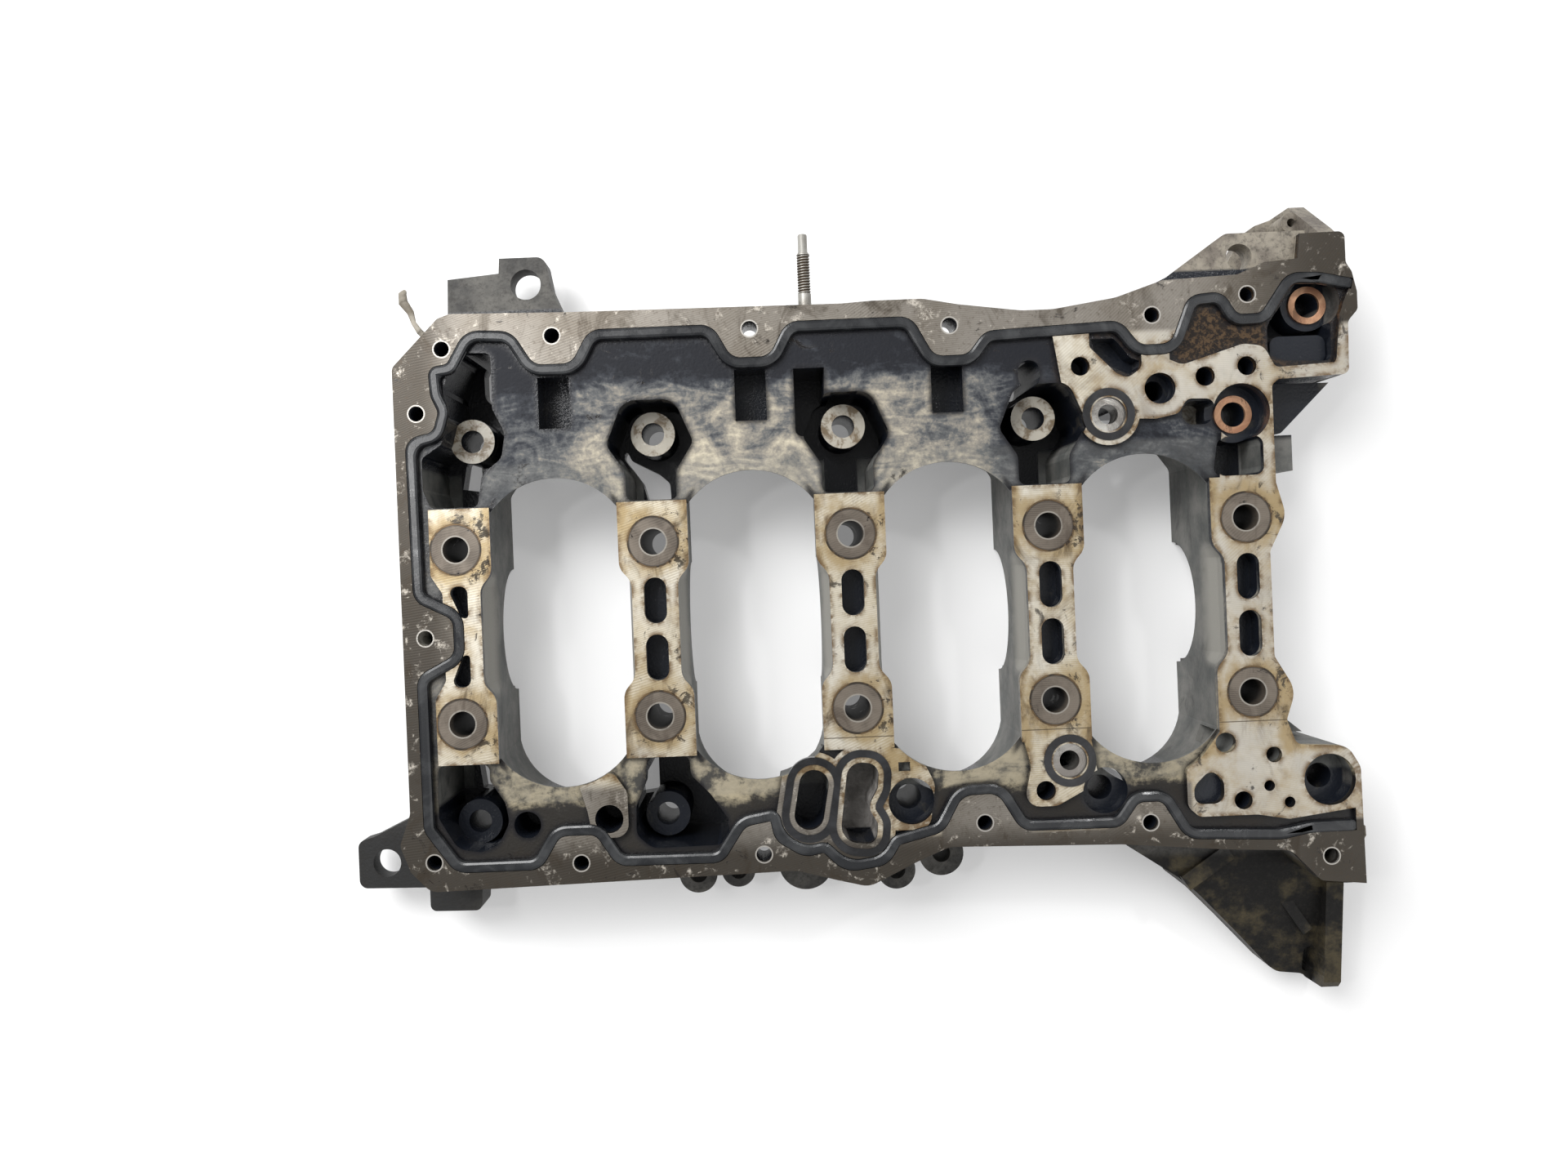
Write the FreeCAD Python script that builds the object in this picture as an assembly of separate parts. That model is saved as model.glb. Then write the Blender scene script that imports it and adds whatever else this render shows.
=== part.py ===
"""Ladder frame (bedplate) of an inline four-cylinder engine.

A die-cast aluminium frame that closes the crankcase from below and carries the lower halves of
the five main bearings in cast-in iron inserts. It lies on its block joint face, z = 0, with the
sump face up. The origin is on the crankshaft axis, in the middle of the centre main bearing:
+X runs along the crankshaft to the gearbox end, +Z from the joint face to the sump face.
All sizes are in millimetres.
"""
import FreeCAD, Part
import math
import os

from FreeCAD import Vector

# Crankcase layout
bearings = 5
bore_pitch = 88.0            # from one main bearing to the next
main_bolt_span = 77.7        # across the crankshaft, between the two bolts of a bearing
frame_height = 60.0          # joint face to sump face
front_reach = 25.0           # front bearing to the front edge of the sump flange
rear_reach = 49.0            # rear bearing to the gearbox face
upper_reach = 141.3          # crankshaft axis to the upper flange edge
lower_reach = 112.0          # crankshaft axis to the lower flange edge

# Bearing webs
pad_half_width = 15.6        # milled pad round a main bolt, and the bearing block below it
pad_end = 57.0               # crankshaft axis to the end of a pad
neck_half_width = 10.3       # web between the two bolts, at the sump face
neck_end = 21.5
neck_start = 27.5
neck_skirt = 9.0             # upright part of a neck's side, below the sump face
neck_round = 8.0
lip_height = 4.5             # the milled lip round a window overhangs the cast walls below it
lip_overhang = 2.2
saddle_d = 56.0              # half-round seat of the bearing shell, in the iron
saddle_relief = 1.5          # the aluminium beside it stands back by this much
window_apex = 69.3           # crankshaft axis to the top of a crank window
web_pocket_w = 10.0
web_pocket_l = 20.5
web_pocket_at = 12.7
web_pocket_depth = 12.0

# Iron inserts
insert_half_width = 11.5
insert_end = 12.5            # iron beyond a main bolt's centre
insert_crown = 8.0           # iron above the saddle
insert_cover = 2.0           # aluminium over the iron, under the flare of a neck
iron_column_d = 22.0
main_bolt_hole_d = 11.5

# Floors and walls
deck_drop = 3.0              # cast deck below the sump face
deck_wall = 6.0
least_round = 2.6            # corners of a smaller radius are left sharp
cavity_arch = 11.2           # crankcase side of the lower deck, beyond the windows' arches
rail_wall = 13.0             # outer wall at the joint face
tower_inset_upper = 52.3     # flange edge to the row of bolt towers
tower_inset_lower = 25.5
tower_d = 20.4
tower_drop = 22.0            # top of a bolt tower below the sump face
tower_hole_d = 10.5
pocket_floor = 10.0          # floor of the pockets round the towers
pump_block_foot = 14.0       # underside of the thick metal below the pump plate

# Sump flange holes
sump_hole_d = 6.8
sump_hole_depth = 22.0
sump_boss_d = 17.0
joint_bolt_d = 8.5           # bolts of the block joint, outside the lower rail
joint_boss_h = 26.0
niche_margin = 1.5           # from a through hole to the side of the niche below it

# Seals and small parts
bead_w = 4.9
bead_crown = 0.7             # seal above the sump face
port_w = 13.2                # left oil port
port_l = 26.8
port_lip = 2.4               # metal between an oil port and its seal
port_rim = 2.3               # metal outside the seal
port_seal_w = 3.2
port_seal_h = 2.8
port_groove = 2.4
port_depth = 26.0
ring_seal_w = 3.2
sleeve_d = 15.2
sleeve_bore = 8.8
sleeve_len = 12.0
sleeve_drop = 1.2
washer_t = 1.5
washer_d = 17.0
washer_bore = 11.2
seat_drop = 11.5             # bolt seats of the gearbox end below the sump face
wing_root = 36.0             # height of the lower gearbox wing where it leaves the rail
wing_tip = 16.0
stud_d = 6.0
stud_out = 35.0
stud_in = 9.0
stud_thread_d = 5.2
stud_tip_d = 4.3
stud_tip_len = 8.0
stud_z = 45.0

# Values worked out from those above
top = frame_height
deck = top - deck_drop
ceiling = deck - deck_wall
bolt_y = main_bolt_span / 2
web_x = [(n - (bearings - 1) / 2) * bore_pitch for n in range(bearings)]
front = web_x[0] - front_reach
rear = web_x[-1] + rear_reach
upper = upper_reach
lower = -lower_reach
insert_top = saddle_d / 2 + insert_crown
neck_foot = insert_top + insert_cover
block_half_width = pad_half_width - lip_overhang
upper_depth = upper_reach - window_apex
lower_depth = lower_reach - window_apex


def up(inset):
    """Y of a place this far inside the upper flange edge of the 141.3 mm reach, kept in proportion."""
    return upper_reach - inset * upper_depth / 72.0


def down(inset):
    """The same from the lower flange edge of the 112 mm reach."""
    return -lower_reach + inset * lower_depth / 42.7


tower_y_upper = up(tower_inset_upper)
tower_y_lower = -down(tower_inset_lower)


def fillet_run(points, closed):
    """Edges of a run of lines with a round at each point that states a radius worth a round face."""
    n = len(points)
    spots = [Vector(p[0], p[1], 0) for p in points]
    radii = [p[2] if len(p) > 2 else 0.0 for p in points]
    cuts = []
    for i in range(n):
        if radii[i] < least_round or (not closed and i in (0, n - 1)):
            cuts.append((spots[i], spots[i], None))
            continue
        back = spots[i - 1] - spots[i]
        on = spots[(i + 1) % n] - spots[i]
        turn = math.pi - back.getAngle(on)
        if turn < 0.02:
            cuts.append((spots[i], spots[i], None))
            continue
        reach = min(radii[i] * math.tan(turn / 2), 0.49 * back.Length, 0.49 * on.Length)
        radius = reach / math.tan(turn / 2)
        a = spots[i] + Vector(back).normalize() * reach
        b = spots[i] + Vector(on).normalize() * reach
        inward = Vector(back).normalize() + Vector(on).normalize()
        inward.normalize()
        middle = spots[i] + inward * (radius / math.cos(turn / 2) - radius)
        cuts.append((a, b, middle))
    edges = []
    for i in range(n):
        a, b, middle = cuts[i]
        if middle is not None:
            edges.append(Part.Arc(a, middle, b).toShape())
        if i == n - 1 and not closed:
            break
        start, end = b, cuts[(i + 1) % n][0]
        if (end - start).Length > 1e-6:
            edges.append(Part.makeLine(start, end))
    return edges


def outline(points):
    return Part.Wire(fillet_run(points, True))


def slab(points, z0, z1):
    """Upright prism on a rounded outline."""
    face = Part.Face(outline(points))
    face.translate(Vector(0, 0, z0))
    return face.extrude(Vector(0, 0, z1 - z0))


def beside(points, shift):
    """The run of points moved sideways to its left by shift, with its rounds kept concentric."""
    moved = []
    n = len(points)
    for i in range(n):
        here = Vector(points[i][0], points[i][1], 0)
        r = points[i][2] if len(points[i]) > 2 else 0.0
        ways = []
        if i > 0:
            ways.append((here - Vector(points[i - 1][0], points[i - 1][1], 0)).normalize())
        if i < n - 1:
            ways.append((Vector(points[i + 1][0], points[i + 1][1], 0) - here).normalize())
        sides = [Vector(-w.y, w.x, 0) for w in ways]
        if len(sides) == 1:
            spot = here + sides[0] * shift
        else:
            middle = (sides[0] + sides[1]).normalize()
            spot = here + middle * (shift / middle.dot(sides[0]))
            left_turn = ways[0].x * ways[1].y - ways[0].y * ways[1].x > 0
            r = max(r - shift if left_turn else r + shift, 0.3)
        moved.append((spot.x, spot.y, r))
    return moved


def band(points, width):
    """Closed outline of a strip of this width along an open run."""
    left = fillet_run(beside(points, width / 2), False)
    right = fillet_run(beside(points, -width / 2), False)
    start = Part.makeLine(left[0].Vertexes[0].Point, right[0].Vertexes[0].Point)
    end = Part.makeLine(left[-1].Vertexes[-1].Point, right[-1].Vertexes[-1].Point)
    return Part.Wire(Part.__sortEdges__(left + right + [start, end]))


def prism(wire, z0, z1):
    face = Part.Face(wire)
    face.translate(Vector(0, 0, z0))
    return face.extrude(Vector(0, 0, z1 - z0))


def post(x, y, d, z0, z1):
    return Part.makeCylinder(d / 2, z1 - z0, Vector(x, y, z0))


def stadium(x, y, width, length, z0, z1):
    """Upright slot, long along Y."""
    w, h = width / 2, length / 2
    return slab([(x - w, y - h, w), (x + w, y - h, w), (x + w, y + h, w), (x - w, y + h, w)], z0, z1)


def mirrored(points):
    return [(-p[0], *p[1:]) for p in reversed(points)]


def moved(points, x, y):
    return [(p[0] + x, p[1] + y, *p[2:]) for p in points]


def turned(points, degrees):
    c, s = math.cos(math.radians(degrees)), math.sin(math.radians(degrees))
    return [(p[0] * c - p[1] * s, p[0] * s + p[1] * c, *p[2:]) for p in points]


def around(x, y, radius, start, end, steps):
    """Points whose rounds make an arc about x, y, from one bearing in degrees to another."""
    half = (end - start) / steps / 2
    reach = radius / math.cos(math.radians(half))
    bearings_at = [math.radians(start + half * (2 * n + 1)) for n in range(steps)]
    return [(x + reach * math.cos(a), y + reach * math.sin(a), radius) for a in bearings_at]


def frame_outline():
    """Edge of the sump flange and of the two gearbox ears, seen from the sump side."""
    w = web_x
    port_y = port_places()[1][1]
    return [
        (front, up(20.5), 4),
        (front, down(34), 6),
        (front - 5, down(20), 4),
        (front - 0.5, down(8), 6),
        (front + 8, lower - 1, 8),
        (w[2] - 30, down(2), 20),
        (w[2] - 12, port_y - 35, 10),
        (w[2] + 2, port_y - 38.5, 10),
        (w[2] + 22, down(3), 12),
        (w[2] + 38, down(9.7), 12),
        (w[3] + 27, down(7.7)),
        (w[4] - 14, down(3.5)),
        (w[4] + 14, down(2), 6),
        (rear - 22, lower - 12, 4),
        (rear - 2, lower - 14, 2),
        (rear - 2.5, down(38), 8),
        (rear - 8, down(47.5), 8),
        (w[4] + 18.5, down(49), 4),
        (w[4] + 14.5, -(bolt_y + 13), 3),
        (w[4] + 19, -bolt_y, 12),
        (w[4] + 10.2, -neck_end - 2, 4),
        (w[4] + 10.2, neck_end + 2, 4),
        (w[4] + 18, bolt_y, 12),
        (w[4] + 14, bolt_y + 15, 3),
        (w[4] + 14, up(44), 3),
        (w[4] + 17, up(41.6), 2),
        (rear - 0.5, up(40.5), 3),
        (rear, up(17), 4),
        (rear + 4.5, up(12), 3),
        (rear + 4.5, up(4), 3),
        (rear + 2.5, upper + 5, 4),
        (rear, upper + 9, 4),
        (rear, upper + 23, 3),
        (rear - 20, upper + 22.7, 1),
        (rear - 21.3, upper + 11.7, 1),
        (w[4] + 13, upper + 10.7, 4),
        (w[4] + 0.6, upper + 5.6, 4),
        (w[4] - 33, upper + 4.4, 10),
        (w[3] + 34, up(2.4), 20),
        (w[3] + 6, up(6.4), 30),
        (w[3] - 8, up(6.4), 30),
        (w[2] + 52, up(2.5), 20),
        (w[2] + 36, upper + 0.7, 20),
        (w[2] + 14, upper + 0.7, 20),
        (w[2], upper),
        (w[1] - 36, upper + 1.2),
        (front + 26.5, upper + 2.5, 4),
        (front + 21, upper + 0.6, 3),
    ]


def sump_holes():
    """Tapped holes of the sump flange: x, y and the half width of the niche below a through hole."""
    w = web_x
    return [
        (front + 22.4, up(13), 0),
        (w[0] + 46.7, up(9), 0),
        (w[1] + 46.7, up(9.5), 9),
        (w[2] + 47.7, up(11.7), 9),
        (w[3] + 49.9, up(10.8), 0),
        (w[4] + 4.6, up(3.3), 0),
        (front + 10, up(41.3), 0),
        (front + 10, 0.0, 0),
        (front + 10, down(12), 0),
        (w[0] + 50.3, down(9.3), 0),
        (w[1] + 43.7, down(9.8), 5.5),
        (w[2] + 54.5, down(19.8), 0),
        (w[3] + 40.1, down(16.9), 0),
        (rear - 17, lower - 1.2, 0),
    ]


def flange_niches():
    """Niches in the outer wall under the flange holes that run right through."""
    niches = []
    for x, y, half in sump_holes():
        if half:
            out = 1 if y > 0 else -1
            back = y - out * (sump_hole_d / 2 + niche_margin)
            edge = out * (upper_reach if y > 0 else lower_reach) + out * 5
            points = [(x - half, back, 3), (x + half, back, 3), (x + half + 2, edge), (x - half - 2, edge)]
            niches.append(slab(points if y > 0 else points[::-1], -1, top - sump_hole_depth))
    return niches


def scallop(x, y, base, depth, half, run):
    """Seal path that leaves a rail's base line to pass inside a bolt hole."""
    return [
        (x + run * (half + 8.2), base, 7),
        (x + run * half, y - depth, 9.5),
        (x - run * half, y - depth, 9.5),
        (x - run * (half + 8.2), base, 7),
    ]


def bead_path():
    """Centre line of the sump seal, from the upper gearbox ear round the front to the lower one."""
    w = web_x
    holes = sump_holes()
    path = [
        (rear + 2.5, up(0.5)),
        (rear - 12, upper + 2.8, 20),
        (rear - 25, upper + 3.3, 8),
        (w[4] + 11.8, up(14.2), 7),
        (w[4] - 1.5, up(14.5), 7),
        (w[4] - 7.5, up(4), 6),
        (w[4] - 20, up(5), 6),
        (w[3] + 59.5, up(26.1), 9),
        (w[3] + 43, up(26.3), 9),
        (w[3] + 34.5, up(15), 7),
        (w[2] + 64.5, up(17.1), 7),
        (w[2] + 56.5, up(27.4), 9),
        (w[2] + 39, up(27.4), 9),
        (w[2] + 29.5, up(9.3), 7),
    ]
    for x, y, _ in (holes[2], holes[1]):
        path += scallop(x, y, up(9.3), 15, 9.8, 1)
    path[-1] = (w[0] + 27.5, up(8.5), 8)
    path += [
        (front + 34.5, up(7.5), 8),
        (front + 26, up(22), 6),
        (front + 18.4, up(23), 5),
        (front + 19, up(33.3), 8),
        (front + 22.4, up(40.8), 7),
        (front + 19, up(51.8), 7),
        (front + 6.9, up(54.3), 8),
        (front + 7.7, 18.2, 6),
        (front + 25, 9.4, 8),
        (front + 25, -9.4, 8),
        (front + 7.9, -18.2, 6),
        (front + 8.2, down(27), 6),
        (front + 20.5, down(9.4), 8),
        (w[0] + 31, down(9.4), 7),
        (w[0] + 40, down(24), 8),
        (w[0] + 58.5, down(24), 8),
        (w[0] + 67.5, down(9.6), 7),
        (w[1] + 24, down(9.2), 6),
        (w[1] + 34.5, down(24.8), 10),
        (w[1] + 49.1, down(27.2), 2.5),
    ]
    clear = port_lip + port_seal_w + bead_w / 2 + 0.4
    left, right = port_places()
    path += around(left[0] - 1.3, left[1] - 6.7, port_w / 2 + clear, 190, 285, 2)
    path.append((w[2] - 17, left[1] - 21.2, 4))
    path += around(right[0] - 0.3, right[1] - 10.8, 8.2 + clear + 0.8, 225, 330, 2)
    path += [
        (w[2] + 14.8, right[1] - 18.3, 4),
        (w[2] + 34.5, down(18.5), 8),
        (w[2] + 43.5, down(34.5), 10),
        (w[2] + 62, down(35.2), 10),
        (w[2] + 72, down(17.8), 7),
        (w[3] + 26, down(17.6), 6),
        (w[3] + 34, down(28.5), 7),
        (w[3] + 47, down(28.5), 7),
        (w[4] - 31, down(11.2), 8),
        (w[4] + 10, down(9.4), 15),
        (rear - 25, down(12), 15),
        (rear - 5.5, down(12.2)),
    ]
    return path


def recess_outline():
    """Outer side of the seal, closed over the milled gearbox end."""
    w = web_x
    edge = beside(bead_path(), -bead_w / 2)
    return edge + [
        (rear - 5.5, down(46), 3),
        (w[4] + 12, down(50), 3),
        (w[4] + 8, 0),
        (w[4] + 12, up(38), 3),
        (rear - 6, up(36), 4),
        (rear - 3.5, up(12), 3),
    ]


def pad_islands():
    """Milled faces that stay at sump-face height inside the seal."""
    w = web_x
    pads = [slab([(x - pad_half_width, -pad_end, 1), (x + pad_half_width, -pad_end, 1),
                  (x + pad_half_width, pad_end, 1), (x - pad_half_width, pad_end, 1)],
                 deck - 1, top + 2) for x in w[1:]]
    front_pad = [
        (w[0] - 11.5, -pad_end, 1), (w[0] + pad_half_width, -pad_end, 1),
        (w[0] + pad_half_width, pad_end, 1), (w[0] - 11.5, pad_end, 1),
        (w[0] - 11.5, neck_start, 4), (w[0] - 6.5, neck_end - 2, 4),
        (w[0] - 6.5, -neck_end + 2, 4), (w[0] - 11.5, -neck_start, 4),
    ]
    pump_plate = [
        (w[3] + 5.3, up(18), 1), (w[3] + 8.5, up(40), 4), (w[3] + 13, up(53), 4),
        (w[3] + 40, up(56.5), 6), (w[3] + 50, up(57), 6), (w[3] + 60, up(55), 4),
        (w[3] + 64, up(48.6), 4), (w[4] - 13, up(49), 4), (w[4] - 9, up(60), 4),
        (w[4] - 11, pad_end - 2, 1), (w[4] + 15, pad_end - 2, 1), (w[4] + 15, up(44), 1),
        (rear - 5, up(41.5), 2), (rear - 5, up(35), 3), (w[4] + 16, up(36.3), 3),
        (w[4] + 11, up(26.5), 6), (w[4] + 2, up(25.2), 8), (w[4] - 25.5, up(33.5), 6),
        (w[4] - 31, up(31), 2), (w[4] - 31, up(24), 1), (w[3] + 44.3, up(24), 1),
        (w[3] + 44.6, up(34), 5), (w[3] + 38, up(38.4), 4), (w[3] + 33, up(36), 3),
        (w[3] + 21.5, up(24), 3), (w[3] + 21.5, up(14), 1),
    ]
    rear_plate = [
        (w[4] - pad_half_width, 1 - pad_end, 1), (w[4] - 24, down(45), 8),
        (w[4] - 31, down(40), 4), (w[4] - 31, down(23), 5), (w[4] - 26, down(18.5), 4),
        (w[4], down(18.5), 4), (w[4] + 14, down(16), 3), (rear - 4, down(20), 2),
        (rear - 4, down(50), 2), (w[4] + 15, 1 - pad_end, 1),
    ]
    lands = [
        [(w[0] + 50, down(46), 4), (w[0] + 66, down(49), 4), (w[0] + 72, down(40), 6),
         (w[0] + 72, down(20), 6), (w[0] + 56, down(20), 6), (w[0] + 54, down(32), 6)],
        [(w[2] + 8, down(56), 3), (w[2] + 26, down(53), 6), (w[2] + 33, down(38), 8),
         (w[2] + 30, down(18), 6), (w[2] + 10, down(18), 6)],
        [(w[3] - 15, down(56.5), 2), (w[3] + 15, down(56.5), 2), (w[3] + 18, down(36), 8),
         (w[3] - 1, down(26), 7), (w[3] - 16, down(26), 7), (w[3] - 12, down(44), 5)],
    ]
    shapes = pads + [slab(front_pad, deck - 1, top + 2), slab(pump_plate, deck - 1, top + 2),
                     slab(rear_plate, deck - 1, top + 2)]
    shapes += [slab(points, deck - 1, top + 2) for points in lands]
    shapes.append(post(*gallery_rings()[0], 27.6, deck - 1, top + 2))
    shapes.append(port_block(deck - 1, top + 2))
    return shapes


def window(x):
    """Crank window between two webs, x at its middle: a milled lip above, cast walls set back below."""
    half = bore_pitch / 2 - pad_half_width
    neck = bore_pitch / 2 - neck_half_width
    side = [(half, 2 - pad_end), (half, -neck_start, neck_round), (neck, -neck_end, neck_round),
            (neck, neck_end, neck_round), (half, neck_start, neck_round), (half, pad_end - 2)]
    lip = window_wire(x, side, window_apex)
    wide = half + lip_overhang
    walls = window_wire(x, [(wide, 2 - pad_end), (wide, pad_end - 2)], window_apex + lip_overhang)
    return prism(lip, top - lip_height, top + 2).fuse(prism(walls, -1, top - lip_height))


def window_wire(x, side, apex):
    """Outline with this run of points up each long side; an end off the crankshaft axis is arched to apex."""
    low, high = side[0], side[-1]
    right = fillet_run(moved(side, x, 0), False)
    left = fillet_run(moved([(-p[0], *p[1:]) for p in side], x, 0), False)
    ends = []
    for half, y in (low[:2], high[:2]):
        a, b = Vector(x - half, y, 0), Vector(x + half, y, 0)
        middle = Vector(x, math.copysign(apex, y), 0)
        ends.append(Part.Arc(a, middle, b).toShape() if y else Part.makeLine(a, b))
    return Part.Wire(Part.__sortEdges__(right + left + ends))


def bay_cavity(x):
    """Underside hollow of one bay, x at its middle, up to the underside of the deck."""
    half = bore_pitch / 2 - block_half_width
    slim = bore_pitch / 2 - 23.5
    wide = bore_pitch / 2 - 5
    points = [
        (half, 2 - pad_end), (half, pad_end + 8, 5), (slim, pad_end + 22, 5),
        (slim, tower_y_upper + 8, 5), (wide, up(29), 5), (wide, upper - rail_wall, 5),
        *niche_detour(x), (-wide, upper - rail_wall, 5), (-wide, up(29), 5), (-slim, tower_y_upper + 8, 5),
        (-slim, pad_end + 22, 5), (-half, pad_end + 8, 5), (-half, 2 - pad_end),
    ]
    high = slab(moved(points, x, 0), -1, ceiling)
    low = window_wire(x, [(half, 2 - pad_end), (half, 0)], window_apex + cavity_arch)
    return high.fuse(prism(low, -1, ceiling))


def niche_detour(x):
    """Part of a bay's outline that keeps clear of the niche in the wall beside it."""
    wall = upper - rail_wall
    for at, y, half in sump_holes():
        if half and y > 0 and abs(at - x) < bore_pitch / 2:
            reach = half + deck_wall
            back = y - sump_hole_d / 2 - niche_margin - deck_wall
            return [(at - x + reach, wall, 3), (at - x + reach, back, 3),
                    (at - x - reach, back, 3), (at - x - reach, wall, 3)]
    return []


def neck_scoop(x, side):
    """Metal taken from one side of a web between its bolts: upright, then flaring outwards."""
    out = x + side * (block_half_width + 0.5)
    inner = x + side * neck_half_width
    foot = x + side * (block_half_width + 0.2)
    skirt = top - neck_skirt
    plan = [(out, -neck_start), (inner, -neck_end), (inner, neck_end), (out, neck_start)]
    upright = slab(plan, skirt, top - lip_height)
    high = Part.makePolygon([Vector(*p, skirt) for p in plan + plan[:1]])
    low_plan = [(out, -neck_start), (foot, -neck_end), (foot, neck_end), (out, neck_start)]
    low = Part.makePolygon([Vector(*p, neck_foot) for p in low_plan + low_plan[:1]])
    return [upright, Part.makeLoft([low, high], True, True)]


def y_pocket():
    """Plan of the pocket round an upper bolt tower, about the tower's centre."""
    stem = pad_end + 0.6 - tower_y_upper
    half = [(11.5, stem, 3), (11.5, -18.5, 6), (19.5, -6, 4), (15.8, 3, 3), (11.5, 13.5, 9)]
    return half + mirrored(half)


def sump_pockets():
    """Deep pockets open to the sump: plan and floor height."""
    w = web_x
    front_upper = [
        (front + 27, up(14.5), 3), (front + 43.5, up(15), 3), (front + 43.3, up(40), 4),
        (front + 48.5, up(51), 8), (front + 46.5, up(62.5), 6), (front + 37.5, up(69), 6),
        (front + 35, pad_end + 0.6, 3), (front + 14, pad_end + 0.6, 3), (front + 10.8, pad_end + 9, 4),
        (front + 10.8, up(61), 3), (front + 20, up(55), 4), (front + 23, up(44), 6),
        (front + 21.5, up(31), 5),
    ]
    front_lower = [
        (front + 12.5, -pad_end - 0.6, 3), (front + 35.5, -pad_end - 0.6, 3),
        (front + 35.5, down(47), 4), (front + 42, down(37), 8), (front + 43.5, down(28), 8),
        (front + 38.5, down(18.5), 8), (front + 31, down(15), 8), (front + 20, down(17), 8),
        (front + 12, down(31), 4),
    ]
    second_lower = [
        (w[1] - 7, -pad_end - 0.6, 3), (w[1] + 12, -pad_end - 0.6, 3), (w[1] + 12.4, down(46), 5),
        (w[1] + 21, down(37), 8), (w[1] + 28.5, down(25.5), 4), (w[1] + 28.5, down(16.5), 3),
        (w[1] + 23.5, down(14.2), 3), (w[1] - 6, down(13.8), 8), (w[1] - 13, down(20), 6),
        (w[1] - 12.6, down(33), 5), (w[1] - 8, down(43.5), 4),
    ]
    pockets = [(moved(y_pocket(), x, tower_y_upper), pocket_floor) for x in w[1:4]]
    pockets += [(front_upper, pocket_floor), (front_lower, pocket_floor),
                (second_lower, pocket_floor)]
    slot = [(w[2] - 22.5, up(58), 3), (w[2] - 10, up(58), 3), (w[2] - 8.7, up(27.6), 2),
            (w[2] - 22.5, up(27.6), 2)]
    gearbox_low = [(w[4] - 13, pad_end + 0.6, 4), (w[4] + 9, pad_end + 0.6, 4),
                   (w[4] + 9, pad_end + 18, 4), (w[4] - 10, pad_end + 18, 4)]
    ear = [
        (rear - 28, up(33), 3), (rear - 6.5, up(34), 3), (rear - 6.5, up(3), 5),
        (rear - 24, up(2.5), 6), (w[4] + 14, up(17), 8), (w[4] + 14, up(30), 4),
    ]
    pump_pocket = [(w[3] + 23, up(20), 1.5), (w[3] + 33.5, up(20), 3), (w[3] + 40.5, up(29), 3),
                   (w[3] + 44.4, up(30.5), 2), (w[3] + 44.4, up(33.5), 3), (w[3] + 39.7, up(36.5), 3),
                   (w[3] + 32, up(32.8), 4), (w[3] + 24.5, up(25.5), 3)]
    pump_gap = [(w[4] - 25.5, up(49.5), 5), (w[4] - 12, up(49.5), 3),
                (w[4] - 12, up(60), 4), (w[4] - 25.5, up(60), 5)]
    pockets += [(slot, pocket_floor + 6), (gearbox_low, top - 26), (ear, top - 26),
                (pump_pocket, top - 14), (pump_gap, top - 22)]
    return pockets


def through_openings():
    """Places where a pocket's floor or wall is open to the crankcase."""
    w = web_x
    return [
        slab(moved([(-5.5, -31, 3), (5.5, -31, 3), (5, -21, 4), (0, -16.5, 3), (-13, -9.5, 3),
                    (-15.5, -4, 3), (-17, -8, 3), (-8, -21, 4)], w[1], tower_y_upper),
             -1, pocket_floor + 1),
        slab([(front + 17.5, up(72.3), 2), (front + 27, up(73.8), 2), (front + 27, up(58.5), 3),
              (front + 20, up(59), 3)], -1, pocket_floor + 1),
        slab([(w[1] - 15, down(46), 2), (w[1] - 6, down(47.5), 2), (w[1] - 6, down(31), 3),
              (w[1] - 14, down(30), 2)], -1, ceiling - 4),
        slab([(front + 20, down(47.5), 2), (front + 27, down(49.5), 2), (front + 27, down(35), 3),
              (front + 21.5, down(36), 2)], -1, pocket_floor + 1),
    ]


def towers():
    """Centres of the bolt towers that stand in the pockets."""
    w = web_x
    return [(w[0] + 4.5, tower_y_upper), (w[1], tower_y_upper), (w[2], tower_y_upper),
            (w[3], tower_y_upper), (w[0] + 1, -tower_y_lower), (w[1], -tower_y_lower)]


def seats():
    """Bolt seats of the gearbox end: centre, counterbore and whether a washer lies on it."""
    w = web_x
    return [
        (w[4], up(55.5), 25.4, True),
        (rear - 13.5, up(7.5), 23.0, True),
        (rear - 16.4, down(32.8), 22.9, False),
        (w[2] + 22.3, down(30.8), 20.7, False),
        (w[3] + 21, down(31.5), 20.7, False),
    ]


def gallery_rings():
    """Oil passages to the pump, each with a ring seal round a sleeve."""
    w = web_x
    return [(w[3] + 28.9, up(54.1)), (w[3] + 5.4, down(45.9))]


def plain_holes():
    """Drilled and tapped holes inside the seal: x, y, diameter, depth."""
    w = web_x
    return [
        (w[3] + 17.1, up(32.3), 8.4, 16), (w[4] + 3.2, up(35.1), 8.4, 16),
        (w[4] - 15.5, up(39), 8.6, 24), (w[3] + 52.2, up(43.5), 9.0, 40),
        (w[4] - 13.1, down(51), 9.0, 30), (w[4] + 8.2, down(44.9), 7.0, 24),
        (w[4] + 5.6, down(31.1), 4.8, 16), (w[4] + 14.4, down(23.5), 4.8, 16),
        (w[4] - 6.2, down(25.1), 8.0, 14), (w[0] + 26.5, down(26.6), 12.0, 34),
        (w[0] + 63.5, down(28.4), 12.6, 34), (w[3] - 5.8, down(33), 8.6, 18),
    ]


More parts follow.
